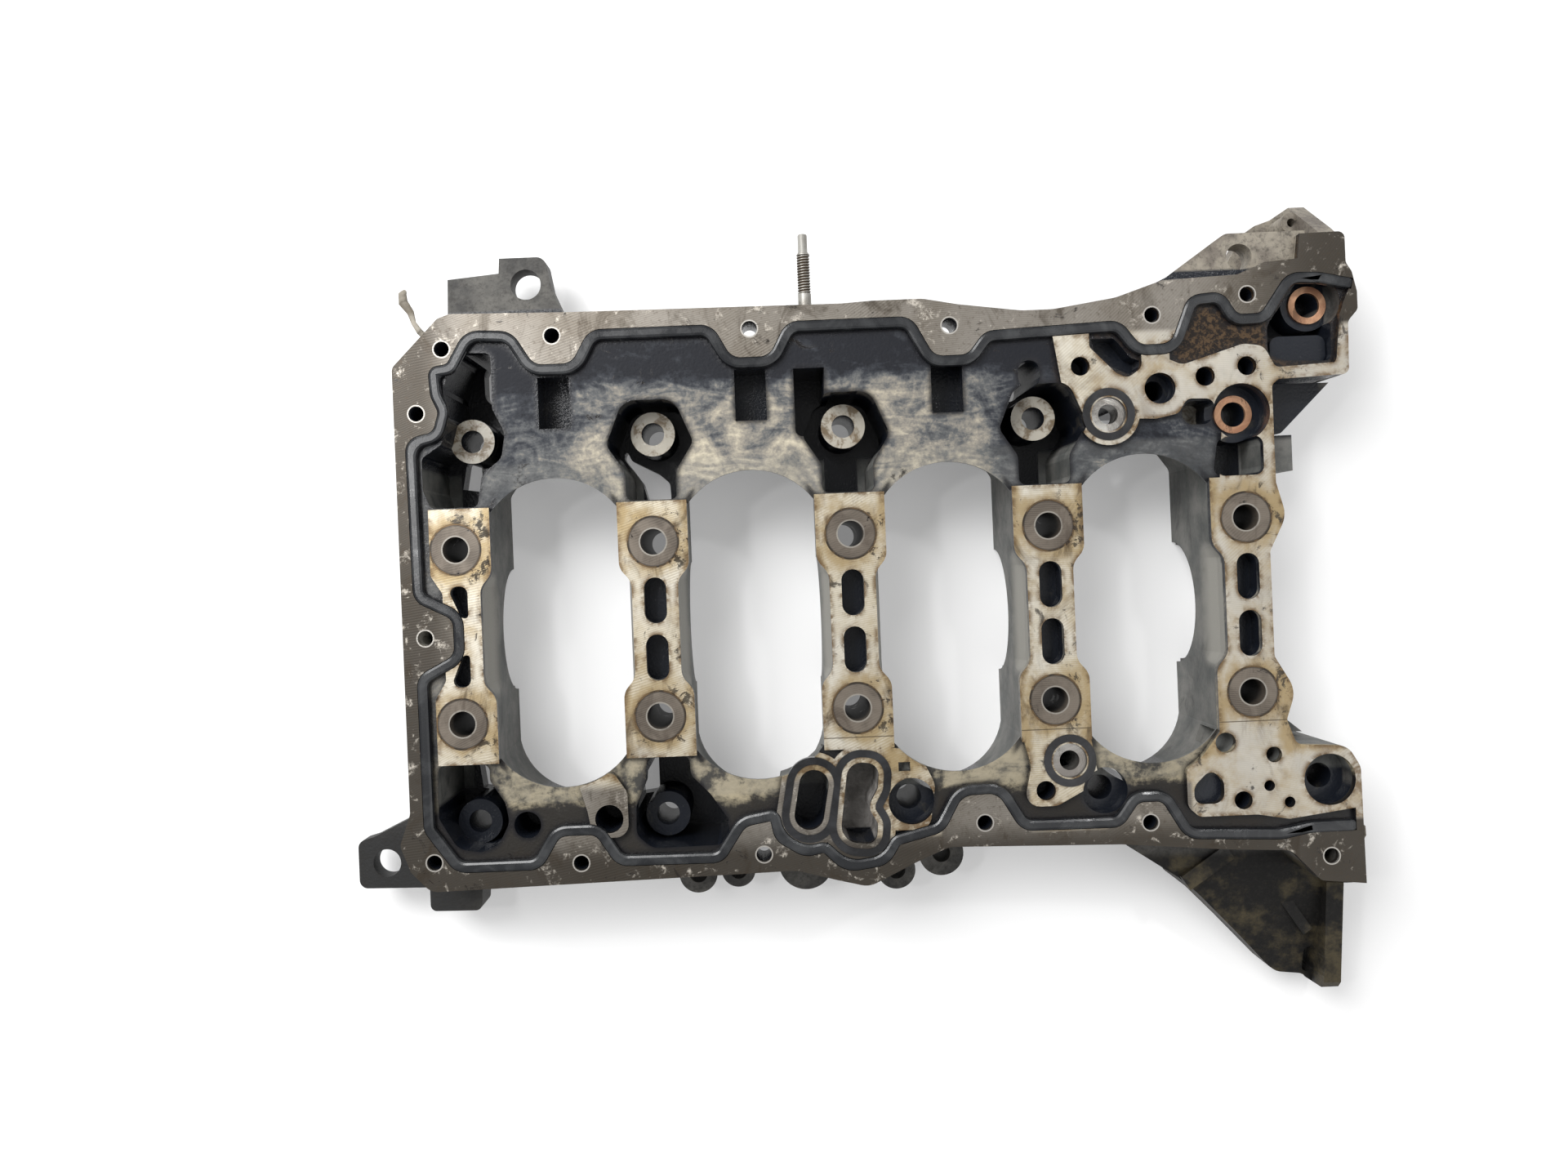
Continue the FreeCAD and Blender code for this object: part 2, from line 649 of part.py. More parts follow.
def block_joint_bosses():
    """Bolt bosses of the block joint outside the lower rail: x, y, diameter."""
    w = web_x
    return [(w[1] + 12, down(0) - 6, 18), (w[1] + 31, down(0) - 5, 16), (w[2] - 25, down(0) - 2.5, 26),
            (w[2] + 17.5, down(3) - 11, 18), (w[2] + 39, down(9.7) - 10.7, 21)]


def joint_boss(x, y, d):
    """One such boss with the metal that ties it to the rail."""
    half = 0.42 * d
    foot = slab([(x - half, y), (x + half, y), (x + half, down(24)), (x - half, down(24))], 0, joint_boss_h)
    return post(x, y, d, 0, joint_boss_h).fuse(foot)


def port_openings():
    """The two oil ports beside the centre bearing: plan of each, leaning with the pump's pipes."""
    w, h = port_w / 2, port_l / 2
    left = [(-w, h, w), (-w, -h, w), (w, -h, w), (w, h, w)]
    right = [(-6, 17, 6.7), (-7.3, -18.9, 8), (9.2, -18.9, 8), (9.2, -9.5, 4), (5.2, -4, 4),
             (5.2, -0.5, 5), (8, 6, 4), (8, 17, 6.8)]
    return [moved(turned(left, -10.9), *port_places()[0]), moved(turned(right, -6.1), *port_places()[1])]


def port_places():
    return [(web_x[2] - 22.2, down(33.2)), (web_x[2] - 1.2, down(32))]


def port_ring(grow, z0, z1):
    """Both port outlines, each grown by this much."""
    shapes = []
    for points in port_openings():
        closed = Part.Face(outline(points)).makeOffset2D(grow) if grow else Part.Face(outline(points))
        closed.translate(Vector(0, 0, z0))
        shapes.append(closed.extrude(Vector(0, 0, z1 - z0)))
    return shapes[0].fuse(shapes[1]).removeSplitter()


def port_block(z0, z1):
    return port_ring(port_lip + port_seal_w + port_rim, z0, z1)


def port_seal():
    """Moulded figure-of-eight seal in its groove round the two oil ports."""
    seat = top - port_groove
    return port_ring(port_lip + port_seal_w, seat, seat + port_seal_h).cut(
        port_ring(port_lip, seat - 1, seat + port_seal_h + 1))


def seal_bead():
    """Sealing bead that stands on the deck along the inner edge of the sump flange."""
    return prism(band(bead_path(), bead_w), deck, top + bead_crown)


def ring_seal(x, y):
    seat = top - port_groove
    outer = sleeve_d + 1.6 + 2 * ring_seal_w
    ring = post(x, y, outer, seat, seat + port_seal_h)
    return ring.cut(post(x, y, sleeve_d + 1.6, seat - 1, top + 3))


def sleeve(x, y):
    """Steel sleeve pressed into an oil passage, just below the sump face."""
    high = top - sleeve_drop
    tube = post(x, y, sleeve_d, high - sleeve_len, high)
    return tube.cut(post(x, y, sleeve_bore, high - sleeve_len - 1, high + 1))


def seat_washer(x, y):
    z = top - seat_drop
    ring = post(x, y, washer_d, z, z + washer_t)
    return ring.cut(post(x, y, washer_bore, z - 1, z + washer_t + 1))


def insert_block(x, with_holes):
    """Cast-in iron piece of one bearing: half-round saddle block with two bolt columns."""
    end = bolt_y + insert_end
    block = Part.makeBox(2 * insert_half_width, 2 * end, insert_top,
                         Vector(x - insert_half_width, -end, 0))
    for y in (bolt_y, -bolt_y):
        block = block.fuse(post(x, y, iron_column_d, insert_top - 1, top))
    if not with_holes:
        return block
    bore = Part.makeCylinder(saddle_d / 2, 2 * insert_half_width + 2,
                             Vector(x - insert_half_width - 1, 0, 0), Vector(1, 0, 0))
    block = block.cut(bore)
    for y in (bolt_y, -bolt_y):
        block = block.cut(post(x, y, main_bolt_hole_d, -1, top + 1))
    return block.removeSplitter()


def stud_place():
    return web_x[2] - 15.5, upper + 0.2


def bracket_stud():
    """Stud with a plain shank and a narrower dog point, screwed into the upper wall."""
    x, y = stud_place()
    way = Vector(0, 1, 0)
    thread = Part.makeCylinder(stud_thread_d / 2, stud_in, Vector(x, y - stud_in, stud_z), way)
    shank = Part.makeCylinder(stud_d / 2, stud_out - stud_tip_len - 1.2, Vector(x, y, stud_z), way)
    y_tip = y + stud_out - stud_tip_len - 1.2
    taper = Part.makeCone(stud_d / 2, stud_tip_d / 2, 1.2, Vector(x, y_tip, stud_z), way)
    tip = Part.makeCylinder(stud_tip_d / 2, stud_tip_len, Vector(x, y_tip + 1.2, stud_z), way)
    return shank.fuse([thread, taper, tip]).removeSplitter()


def side_slab(points, x0, x1):
    """Plate across X on an outline given as (y, z)."""
    wire = Part.makePolygon([Vector(x0, y, z) for y, z in points + points[:1]])
    return Part.Face(wire).extrude(Vector(x1 - x0, 0, 0))


def gearbox_ears():
    """The two ends of the gearbox flange with their gussets."""
    w = web_x
    face = rear
    upper_end = side_slab([(upper + 15, 0), (upper + 45, 0), (upper + 45, top - 39), (upper + 28, top - 13),
                           (upper + 20, top - 2), (upper + 15, top - 2)], face - 7.5, face)
    upper_gusset = slab([(w[4] + 4, upper + 3), (w[4] + 23, upper + 35, 3), (w[4] + 29, upper + 39.5, 4),
                         (face - 6, upper + 44), (face - 6, upper + 3)], 0, 11)
    arm = slab([(w[3] + 45, up(8)), (w[3] + 47, upper + 1.5, 6), (w[4] - 29, upper + 7, 6),
                (w[4] - 10, upper + 20, 4), (w[4] - 2, upper + 25.5, 6), (rear - 15, upper + 25.5, 1),
                (rear - 15, up(4))], top - 18, top - 6)
    lower_end = side_slab([(lower - 10, 0), (lower - 68, 0), (lower - 72, 10), (lower - 71, 28),
                           (lower - 68, 31), (lower - 19, top - 22), (lower - 14, top - 2),
                           (lower - 10, top - 2)], face - 10, face - 2)
    plan = slab([(w[3] + 36, lower + 10), (w[3] + 36, lower + 1.3), (w[4] - 28, lower - 15, 12),
                 (w[4] - 19, lower - 23, 12), (w[4] - 0.5, lower - 42.6), (w[4] + 18, lower - 63, 8),
                 (w[4] + 22, lower - 66, 8), (w[4] + 34, lower - 67.5, 6), (w[4] + 42, lower - 74, 4),
                 (face - 2, lower - 71), (face - 2, lower + 10)], 0, wing_root)
    wing = plan.common(side_slab([(lower + 10, 0), (lower + 10, wing_root), (lower - 10, wing_root),
                                  (lower - 75, wing_tip), (lower - 75, 0)], w[3] + 30, face))
    ribs = [
        rib((w[4] - 26, lower - 17), (w[4] - 5, lower - 3), 7.5, 0, wing_root + 2),
        rib((w[4] + 16, lower - 18), (w[4] + 33, lower - 44), 5, 0, wing_tip + 14),
    ]
    boss = post(face - 9.3, upper + 36, 9.4, 0, 28)
    step = slab([(w[4] + 14, down(51), 2), (rear - 15, down(50), 2), (w[4] + 15, down(66), 2)],
                0, 30)
    gusset = slab([(w[4] + 13, up(41)), (rear - 0.5, up(41.5), 2), (w[4] + 25.5, up(64), 3),
                   (w[4] + 13, up(66))], 0, 40)
    lump = slab([(w[4] + 13, up(64.4), 1), (w[4] + 33, up(64.4), 2), (w[4] + 33, up(81), 2),
                 (w[4] + 13, up(81), 1)], 8, 34)
    return [upper_end, upper_gusset, arm, boss, lower_end, wing, step, gusset, lump] + ribs


def rib(a, b, width, z0, z1):
    """Upright wall from a to b."""
    run = (Vector(*b, 0) - Vector(*a, 0)).normalize()
    side = Vector(-run.y, run.x, 0) * (width / 2)
    p, q = Vector(*a, 0), Vector(*b, 0)
    corners = [p + side, q + side, q - side, p - side]
    return slab([(c.x, c.y, 0) for c in corners], z0, z1)


def lugs():
    """Ears on the front corners, below the sump flange."""
    w = web_x
    ear = slab([(front + 18, up(4)), (front + 19, upper + 25, 1), (front + 43, upper + 27, 1),
                (front + 43.5, upper + 34, 1), (front + 65, upper + 34, 5), (front + 67.5, upper + 19, 8),
                (front + 75, upper + 1, 8), (front + 75, up(4))], 18, 30)
    corner = slab([(front + 3, down(32)), (front - 27, down(18), 3), (front - 34.5, down(16), 4),
                   (front - 34.5, lower - 6, 4), (front + 6, lower - 7, 2), (front + 12, lower - 2)],
                  18, 28)
    foot = slab([(front - 1, down(4)), (front - 1, lower - 17.5, 3), (front + 23, lower - 18, 3),
                 (front + 24.5, down(4))], 12, 30)
    return [ear, corner, foot]


def lug_holes():
    return [post(front + 55.5, upper + 21.3, 14.2, 0, 40), post(front - 21.2, down(5.5), 13.0, 0, 40)]


def oblong_pockets():
    """Blind pockets in the necks of the webs."""
    floor = top - web_pocket_depth
    shapes = []
    for x in web_x[1:]:
        for side in (1, -1):
            shapes.append(stadium(x, side * web_pocket_at, web_pocket_w, web_pocket_l, floor, top + 2))
    x = web_x[0]
    drop = [(x - 4.6, 22.5, 3), (x + 4.6, 22.5, 3.5), (x + 4.6, 8.2, 3), (x + 1.5, 8.2, 3)]
    shapes.append(slab(drop, floor, top + 2))
    shapes.append(slab([(p[0], -p[1], p[2]) for p in reversed(drop)], floor, top + 2))
    return shapes


def ladder_frame():
    """The casting, with every seat for the pieces it carries."""
    w = web_x
    body = slab(frame_outline(), 0, top)
    body = body.fuse(gearbox_ears() + lugs()
                     + [joint_boss(*boss) for boss in block_joint_bosses()])

    mids = [(a + b) / 2 for a, b in zip(w, w[1:])]
    hollows = [bay_cavity(x) for x in mids]
    hollows += lower_rail_hollows()
    body = body.cut(hollows)

    rect = [slab([(x - 8, up(51.6), 2), (x + 12, up(51.6), 2), (x + 12, up(25), 2),
                  (x - 8, up(25), 2)], top - 24, ceiling + 1) for x in mids[:3]]
    bosses = [post(x, y, sump_boss_d, top - sump_hole_depth - 6, top) for x, y, niche in sump_holes()
              if not niche]
    pump_block = slab([(w[3] + 9, up(52), 3), (w[4] - 6, up(52), 3), (w[4] - 6, up(14)),
                       (w[3] + 9, up(14))], pump_block_foot, ceiling + 1)
    slot_block = slab([(w[2] - 26, up(61), 3), (w[2] - 6, up(61), 3), (w[2] - 6, up(24), 3),
                       (w[2] - 26, up(24), 3)], pocket_floor, ceiling + 1)
    body = body.fuse(rect + bosses + [pump_block, slot_block, port_block(top - port_depth - 4, deck)])

    scoops = [piece for x in w for side in (1, -1) for piece in neck_scoop(x, side)
              if (x, side) != (w[0], -1) and (x, side) != (w[-1], 1)]
    body = body.cut([window(x) for x in mids] + scoops)

    recess = slab(recess_outline(), deck, top + 1).cut(pad_islands())
    channel = prism(band(bead_path(), bead_w), deck, top + 1)
    pockets = [slab(points, floor, top + 2) for points, floor in sump_pockets()]
    small = [slab([(x - 5, up(50), 2), (x + 9, up(50), 2), (x + 9, up(27), 2),
                   (x - 5, up(27), 2)], top - 21, top + 1) for x in mids[:3]]
    body = body.cut([recess, channel] + pockets + small + oblong_pockets() + flange_niches())

    stands = [post(x, y, tower_d, pocket_floor - 2, top - tower_drop) for x, y in towers()]
    blocks = [slab([(rear - 32, up(34), 4), (rear - 7, up(34.5), 4), (rear - 7, up(21.5), 4),
                    (rear - 32, up(21.5), 4)], top - 27, top - 8)]
    seat_bosses = [post(x, y, d, top - 27, top - seat_drop) for x, y, d, _ in seats()[:2]]
    body = body.fuse(stands + blocks + seat_bosses)

    body = body.cut(through_openings() + drilled())
    body = body.cut(Part.makeCylinder(saddle_d / 2 + saddle_relief, rear - front + 20,
                                      Vector(front - 10, 0, 0), Vector(1, 0, 0)))
    for x in w:
        body = body.cut(insert_block(x, False))
    x, y = stud_place()
    body = body.cut(Part.makeCylinder(stud_thread_d / 2, stud_in + 3, Vector(x, y - stud_in, stud_z),
                                      Vector(0, 1, 0)))
    return body


def lower_rail_hollows():
    """Core pockets in the underside of the lower rail."""
    w = web_x
    return [
        slab([(w[0] + 36, down(14)), (w[0] + 54, down(14)), (w[0] + 54, down(30)),
              (w[0] + 36, down(30))], -1, 30),
        slab([(w[2] + 46, down(14)), (w[2] + 72, down(14)), (w[2] + 72, down(32)),
              (w[2] + 46, down(32))], -1, 30),
        slab([(w[3] + 36, down(14)), (w[4] - 26, down(14)), (w[4] - 26, down(32)),
              (w[3] + 36, down(32))], -1, 30),
        slab([(w[4] - 14, down(14)), (rear - 34, down(14)), (rear - 34, down(46)),
              (w[4] - 14, down(46))], -1, 30),
        slab([(w[4] - 32, up(30)), (w[4] + 8, up(24)), (w[4] + 8, up(14)),
              (w[4] - 32, up(14))], -1, 40),
    ]


def drilled():
    """Every hole of the casting."""
    cuts = []
    for x, y, _ in sump_holes():
        cuts.append(post(x, y, sump_hole_d, top - sump_hole_depth - 1, top + 1))
    for x, y in towers():
        cuts.append(post(x, y, tower_hole_d, -1, top))
    for x, y, d, washer in seats():
        cuts.append(post(x, y, d, top - seat_drop, top + 1))
        cuts.append(post(x, y, washer_bore, -1, top))
    for x, y in gallery_rings():
        high = top - sleeve_drop
        outer = sleeve_d + 1.6 + 2 * ring_seal_w
        groove = post(x, y, outer, top - port_groove, top + 1)
        cuts.append(groove.cut(post(x, y, sleeve_d + 1.6, top - port_groove - 1, top + 2)))
        cuts.append(post(x, y, sleeve_d, high - sleeve_len, top + 1))
        cuts.append(post(x, y, sleeve_bore, top - 45, top))
    for x, y, d, depth in plain_holes():
        cuts.append(post(x, y, d, top - depth, top + 1))
    for points in port_openings():
        cuts.append(slab(points, top - port_depth, top + 1))
    cuts.append(port_seal_groove())
    x, y = web_x[3] - 5.2, up(34.4)
    cuts.append(stadium(x, y, 9.8, 12.4, -1, top + 1))
    x, y = web_x[3] + 52.2, up(43.5)
    cuts.append(post(x, y, 13.8, top - 10, top + 1))
    x, y = web_x[4] - 21.3, down(31.1)
    cuts.append(slab([(x - 6.7, y - 7, 5), (x + 6.7, y - 7, 6), (x + 6.7, y + 3, 5), (x + 1, y + 8.5, 4),
                      (x - 6.7, y + 1, 6)], top - 5, top + 1))
    x, y = web_x[2] + 19.6, down(46.3)
    cuts.append(slab([(x - 2.6, y - 2, 1.9), (x + 2.6, y - 2, 1.9), (x + 2.6, y + 2, 1.9),
                      (x - 2.6, y + 2, 1.9)], top - 6, top + 1))
    cuts += lug_holes()
    cuts.append(stadium(rear - 12.5, lower - 60, 5.4, 13, -1, wing_root))
    cuts.append(post(rear - 9.3, upper + 36, 4, 16, 30))
    cuts.append(post(web_x[4] + 4, upper + 14.9, 11.6, top - 20, top))
    cuts += [post(x, y, joint_bolt_d, -1, joint_boss_h + 1) for x, y, _ in block_joint_bosses()]
    for y, z in ((upper + 37, 13), (lower - 55, 14)):
        cuts.append(Part.makeCylinder(5.5, 9, Vector(rear - 8, y, z), Vector(1, 0, 0)))
    return cuts


def port_seal_groove():
    seat = top - port_groove
    return port_ring(port_lip + port_seal_w, seat, top + 1).cut(port_ring(port_lip, seat - 1, top + 2))


def main():
    nodes = {"ladder_frame": ladder_frame(), "sump_seal_bead": seal_bead(),
             "oil_port_seal": port_seal(), "bracket_stud": bracket_stud()}
    for n, x in enumerate(web_x, 1):
        nodes[f"main_bearing_insert_{n}"] = insert_block(x, True)
    for n, (x, y) in enumerate(gallery_rings(), 1):
        nodes[f"gallery_ring_seal_{n}"] = ring_seal(x, y)
        nodes[f"gallery_sleeve_{n}"] = sleeve(x, y)
    washers = [(x, y) for x, y, _, washer in seats() if washer]
    for n, (x, y) in enumerate(washers, 1):
        nodes[f"seat_washer_{n}"] = seat_washer(x, y)
    os.makedirs("parts", exist_ok=True)
    for name, shape in nodes.items():
        print(name, len(shape.Solids), round(shape.Volume), shape.isValid())
        shape.exportStep(f"parts/{name}.step")


main()
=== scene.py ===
"""An engine's cast ladder frame, lying on its block joint face: its finishes, a threaded stud and two scraps."""
import math

import bmesh
import bpy
from mathutils import Matrix, Vector


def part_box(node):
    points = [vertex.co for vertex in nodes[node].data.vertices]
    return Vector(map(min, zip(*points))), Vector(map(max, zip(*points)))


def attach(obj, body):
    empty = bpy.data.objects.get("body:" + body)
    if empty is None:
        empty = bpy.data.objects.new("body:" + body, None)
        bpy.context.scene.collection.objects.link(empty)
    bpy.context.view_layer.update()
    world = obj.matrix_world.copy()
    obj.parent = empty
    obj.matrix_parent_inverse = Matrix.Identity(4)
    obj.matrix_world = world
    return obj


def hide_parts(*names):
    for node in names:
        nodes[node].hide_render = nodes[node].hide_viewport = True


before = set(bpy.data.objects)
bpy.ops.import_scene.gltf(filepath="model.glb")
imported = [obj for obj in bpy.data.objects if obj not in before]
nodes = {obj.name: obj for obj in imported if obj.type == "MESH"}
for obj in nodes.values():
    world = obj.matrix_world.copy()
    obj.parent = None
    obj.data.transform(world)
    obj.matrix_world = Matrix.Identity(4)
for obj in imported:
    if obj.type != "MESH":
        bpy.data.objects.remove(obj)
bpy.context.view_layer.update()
scene = bpy.context.scene
scene.view_settings.view_transform = "Standard"

# Camera: straight over the part, 542 mm above the sump face, turned a little in its own plane, with the lens of
# a short zoom. The shift puts the point under the lens where it is in the picture.
IMAGE_WIDTH, IMAGE_HEIGHT = 1920, 1440
LENS_PIXEL = (936, 692)
FOCAL_PIXELS = 1492
SENSOR_WIDTH = 36
CAMERA_PLACE = (-0.0389, 0.0264, 0.602)
CAMERA_TURN = math.radians(-2.37)
camera_data = bpy.data.cameras.new("camera")
camera_data.sensor_width = SENSOR_WIDTH
camera_data.lens = FOCAL_PIXELS / IMAGE_WIDTH * SENSOR_WIDTH
camera_data.shift_x = (IMAGE_WIDTH / 2 - LENS_PIXEL[0]) / IMAGE_WIDTH
camera_data.shift_y = (LENS_PIXEL[1] - IMAGE_HEIGHT / 2) / IMAGE_WIDTH
camera = bpy.data.objects.new("camera", camera_data)
camera.location = CAMERA_PLACE
camera.rotation_euler = (0, 0, CAMERA_TURN)
scene.collection.objects.link(camera)
scene.camera = camera


# Floor: a white sheet under the part, which keeps the part's soft shadow. It glows to the camera and in
# reflections alone, so that it comes out white there. The two helpers here build every material below.
def add(tree, kind, inputs=None, output=0, **settings):
    """Adds a shader node, sets its properties and inputs, and returns one of its outputs."""
    node = tree.nodes.new("ShaderNode" + kind)
    for name, value in settings.items():
        setattr(node, name, value)
    for key, value in (inputs or {}).items():
        if isinstance(value, bpy.types.NodeSocket):
            tree.links.new(value, node.inputs[key])
        else:
            node.inputs[key].default_value = value
    return node.outputs[output]


def material(name, **constants):
    """A material of one Principled shader; a key such as Base_Color sets the input Base Color."""
    made = bpy.data.materials.new(name)
    made.use_nodes = True
    shader = made.node_tree.nodes["Principled BSDF"]
    for key, value in constants.items():
        shader.inputs[key.replace("_", " ")].default_value = value
    return made, made.node_tree, shader.inputs


FLOOR_REACH, FLOOR_GLOW = 6.0, 0.22
floor_form = bmesh.new()
bmesh.ops.create_grid(floor_form, x_segments=2, y_segments=2, size=FLOOR_REACH)
floor_mesh = bpy.data.meshes.new("floor")
floor_form.to_mesh(floor_mesh)
floor_form.free()
floor = bpy.data.objects.new("floor", floor_mesh)
scene.collection.objects.link(floor)
floor_paint, tree, paint = material("white floor", Base_Color=(0.74, 0.74, 0.74, 1), Roughness=0.8,
                                    Emission_Color=(1, 1, 1, 1))
floor_mesh.materials.append(floor_paint)
rays = add(tree, "LightPath").node.outputs
seen = add(tree, "Math", {0: rays["Is Camera Ray"], 1: rays["Is Glossy Ray"]}, operation="MAXIMUM")
seen = add(tree, "Math", {0: seen, 1: rays["Is Transmission Ray"]}, operation="MAXIMUM")
glow = add(tree, "Math", {0: seen, 1: FLOOR_GLOW}, operation="MULTIPLY")
tree.links.new(glow, paint["Emission Strength"])

# Lights: a large soft lamp above and to the upper left, a weaker one to the right, two small ones that put
# glints on wet edges, and a plain world. Each lamp looks at the middle of the part.
LAMPS = {"key lamp": ((-0.6, 0.65, 1.1), 0.7, 20), "fill lamp": ((0.9, -0.3, 1.2), 1.2, 4),
         "left glint": ((-0.5, 0.1, 1.0), 0.07, 1.0), "rear glint": ((0.45, 0.55, 1.0), 0.07, 1.3)}
WORLD_LEVEL = 0.46
for name, (place, width, watts) in LAMPS.items():
    lamp_data = bpy.data.lights.new(name, "AREA")
    lamp_data.size = width
    lamp_data.energy = watts
    lamp = bpy.data.objects.new(name, lamp_data)
    lamp.location = place
    lamp.rotation_euler = (-Vector(place)).to_track_quat("-Z", "Y").to_euler()
    scene.collection.objects.link(lamp)
world = bpy.data.worlds.new("studio")
scene.world = world
world.use_nodes = True
world.node_tree.nodes["Background"].inputs["Color"].default_value = (1, 1, 1, 1)
world.node_tree.nodes["Background"].inputs["Strength"].default_value = WORLD_LEVEL


# Shared effects, each a node group: the place in millimetres, the grain of a cast skin, the arcs that a face mill
# leaves, turned rings, the distance from the nearest main bolt, and the stains and film of old oil.
def calc(tree, operation, a, b=0.5):
    return add(tree, "Math", {0: a, 1: b}, operation=operation)


def share(tree, mask, most):
    """The mask, at most as strong as the number given."""
    return calc(tree, "MULTIPLY", mask, most)


def ease(tree, value, low, high):
    """0 at low, 1 at high, smooth between; low may be the larger."""
    return add(tree, "MapRange", {"Value": value, "From Min": low, "From Max": high},
               interpolation_type="SMOOTHSTEP")


def mix(tree, factor, a, b):
    return add(tree, "Mix", {0: factor, 6: a, 7: b}, output=2, data_type="RGBA")


def blend(tree, factor, a, b):
    return add(tree, "Mix", {0: factor, 2: a, 3: b}, data_type="FLOAT")


def noise(tree, place, scale, detail=3, distortion=0.0, rough=0.55):
    return add(tree, "TexNoise", {"Vector": place, "Scale": scale, "Detail": detail, "Roughness": rough,
                                  "Distortion": distortion})


def group(name, inputs, outputs):
    """A new shader node group; inputs and outputs are names with their socket types."""
    tree = bpy.data.node_groups.new(name, "ShaderNodeTree")
    for side, sockets in (("INPUT", inputs), ("OUTPUT", outputs)):
        for label, kind in sockets.items():
            tree.interface.new_socket(label, in_out=side, socket_type="NodeSocket" + kind)
    return tree, tree.nodes.new("NodeGroupInput").outputs, tree.nodes.new("NodeGroupOutput").inputs


MILLIMETRES = 1000
place_tree, _, out = group("place in millimetres", {},
                           {"Place": "Vector", "X": "Float", "Y": "Float", "Z": "Float", "Up": "Float"})
coordinates = add(place_tree, "TexCoord", output="Object")
in_mm = add(place_tree, "VectorMath", {0: coordinates, "Scale": MILLIMETRES}, operation="SCALE")
place_tree.links.new(in_mm, out["Place"])
split = add(place_tree, "SeparateXYZ", {0: in_mm}).node.outputs
for axis in "XYZ":
    place_tree.links.new(split[axis], out[axis])
face_normal = add(place_tree, "NewGeometry", output="Normal")
place_tree.links.new(add(place_tree, "SeparateXYZ", {0: face_normal}, output="Z"), out["Up"])

grain_tree, given, out = group("cast grain", {"Place": "Vector"}, {"Height": "Float", "Mottle": "Float"})
fine = noise(grain_tree, given["Place"], 0.9, detail=4, rough=0.65)
pits = add(grain_tree, "TexVoronoi", {"Vector": given["Place"], "Scale": 0.7, "Randomness": 1.0})
grain_tree.links.new(calc(grain_tree, "ADD", fine, share(grain_tree, pits, 0.35)), out["Height"])
grain_tree.links.new(noise(grain_tree, given["Place"], 0.045, detail=7, distortion=1.2, rough=0.62),
                     out["Mottle"])

CUTTER_PASSES = (((-90, 620, 0), 0.34), ((260, -540, 0), 0.27))
arcs_tree, given, out = group("cutter arcs", {"Place": "Vector"}, {"Height": "Float"})
passes = []
for offset, scale in CUTTER_PASSES:
    moved = add(arcs_tree, "VectorMath", {0: given["Place"], 1: offset}, operation="ADD")
    passes.append(add(arcs_tree, "TexWave", {"Vector": moved, "Scale": scale, "Distortion": 1.2, "Detail": 2.0,
                                             "Detail Scale": 0.3}, output="Fac", wave_type="RINGS",
                      rings_direction="Z"))
patch = ease(arcs_tree, noise(arcs_tree, given["Place"], 0.03, detail=2), 0.42, 0.6)
arcs_tree.links.new(blend(arcs_tree, patch, *passes), out["Height"])

rings_tree, given, out = group("turned rings", {"Place": "Vector", "Centre": "Vector"}, {"Height": "Float"})
moved = add(rings_tree, "VectorMath", {0: given["Place"], 1: given["Centre"]}, operation="SUBTRACT")
rings_tree.links.new(add(rings_tree, "TexWave", {"Vector": moved, "Scale": 0.5, "Distortion": 0.4}, output="Fac",
                         wave_type="RINGS", rings_direction="Z"), out["Height"])

BORE_PITCH, BOLT_Y = 88, 38.85
bolt_tree, _, out = group("round a main bolt", {}, {"Sideways": "Float", "Radius": "Float"})
x, y = add(bolt_tree, "Group", node_tree=place_tree).node.outputs[1:3]
pitches = calc(bolt_tree, "ADD", calc(bolt_tree, "DIVIDE", x, BORE_PITCH), 2.5)
sideways = calc(bolt_tree, "SUBTRACT", calc(bolt_tree, "FRACT", pitches), 0.5)
sideways = calc(bolt_tree, "MULTIPLY", sideways, BORE_PITCH)
along = calc(bolt_tree, "SUBTRACT", calc(bolt_tree, "ABSOLUTE", y), BOLT_Y)
squares = calc(bolt_tree, "ADD", calc(bolt_tree, "POWER", sideways, 2), calc(bolt_tree, "POWER", along, 2))
bolt_tree.links.new(sideways, out["Sideways"])
bolt_tree.links.new(calc(bolt_tree, "POWER", squares, 0.5), out["Radius"])

oil_tree, given, out = group("old oil", {"Place": "Vector"}, {"Stain": "Float", "Film": "Float"})
streaked = add(oil_tree, "VectorMath", {0: given["Place"], 1: (1.0, 0.55, 0.8)}, operation="MULTIPLY")
stain = noise(oil_tree, streaked, 0.05, detail=8, distortion=1.6, rough=0.68)
oil_tree.links.new(ease(oil_tree, stain, 0.5, 0.7), out["Stain"])
film = noise(oil_tree, given["Place"], 0.085, detail=6, distortion=0.8, rough=0.7)
oil_tree.links.new(ease(oil_tree, film, 0.6, 0.68), out["Film"])

# Casting: the die-cast aluminium frame. Its milled faces are pale on the webs and browner on the flange, the cast
# deck goes from golden to grey-blue under old oil, the pockets are black and wet, and the outside is dry and dark.
casting, tree, skin = material("oily cast aluminium", Roughness=0.5)
skin["Specular IOR Level"].default_value = 0.3
place, x, y, z, up = add(tree, "Group", node_tree=place_tree).node.outputs
grain, mottle = add(tree, "Group", {"Place": place}, node_tree=grain_tree).node.outputs
arcs = add(tree, "Group", {"Place": place}, node_tree=arcs_tree)
stain, film = add(tree, "Group", {"Place": place}, node_tree=oil_tree).node.outputs
sideways, radius = add(tree, "Group", node_tree=bolt_tree).node.outputs


def both(*masks):
    """Where all the masks are."""
    result = masks[0]
    for mask in masks[1:]:
        result = calc(tree, "MULTIPLY", result, mask)
    return result


def either(*masks):
    """Where any of the masks is."""
    result = masks[0]
    for mask in masks[1:]:
        result = calc(tree, "MAXIMUM", result, mask)
    return result


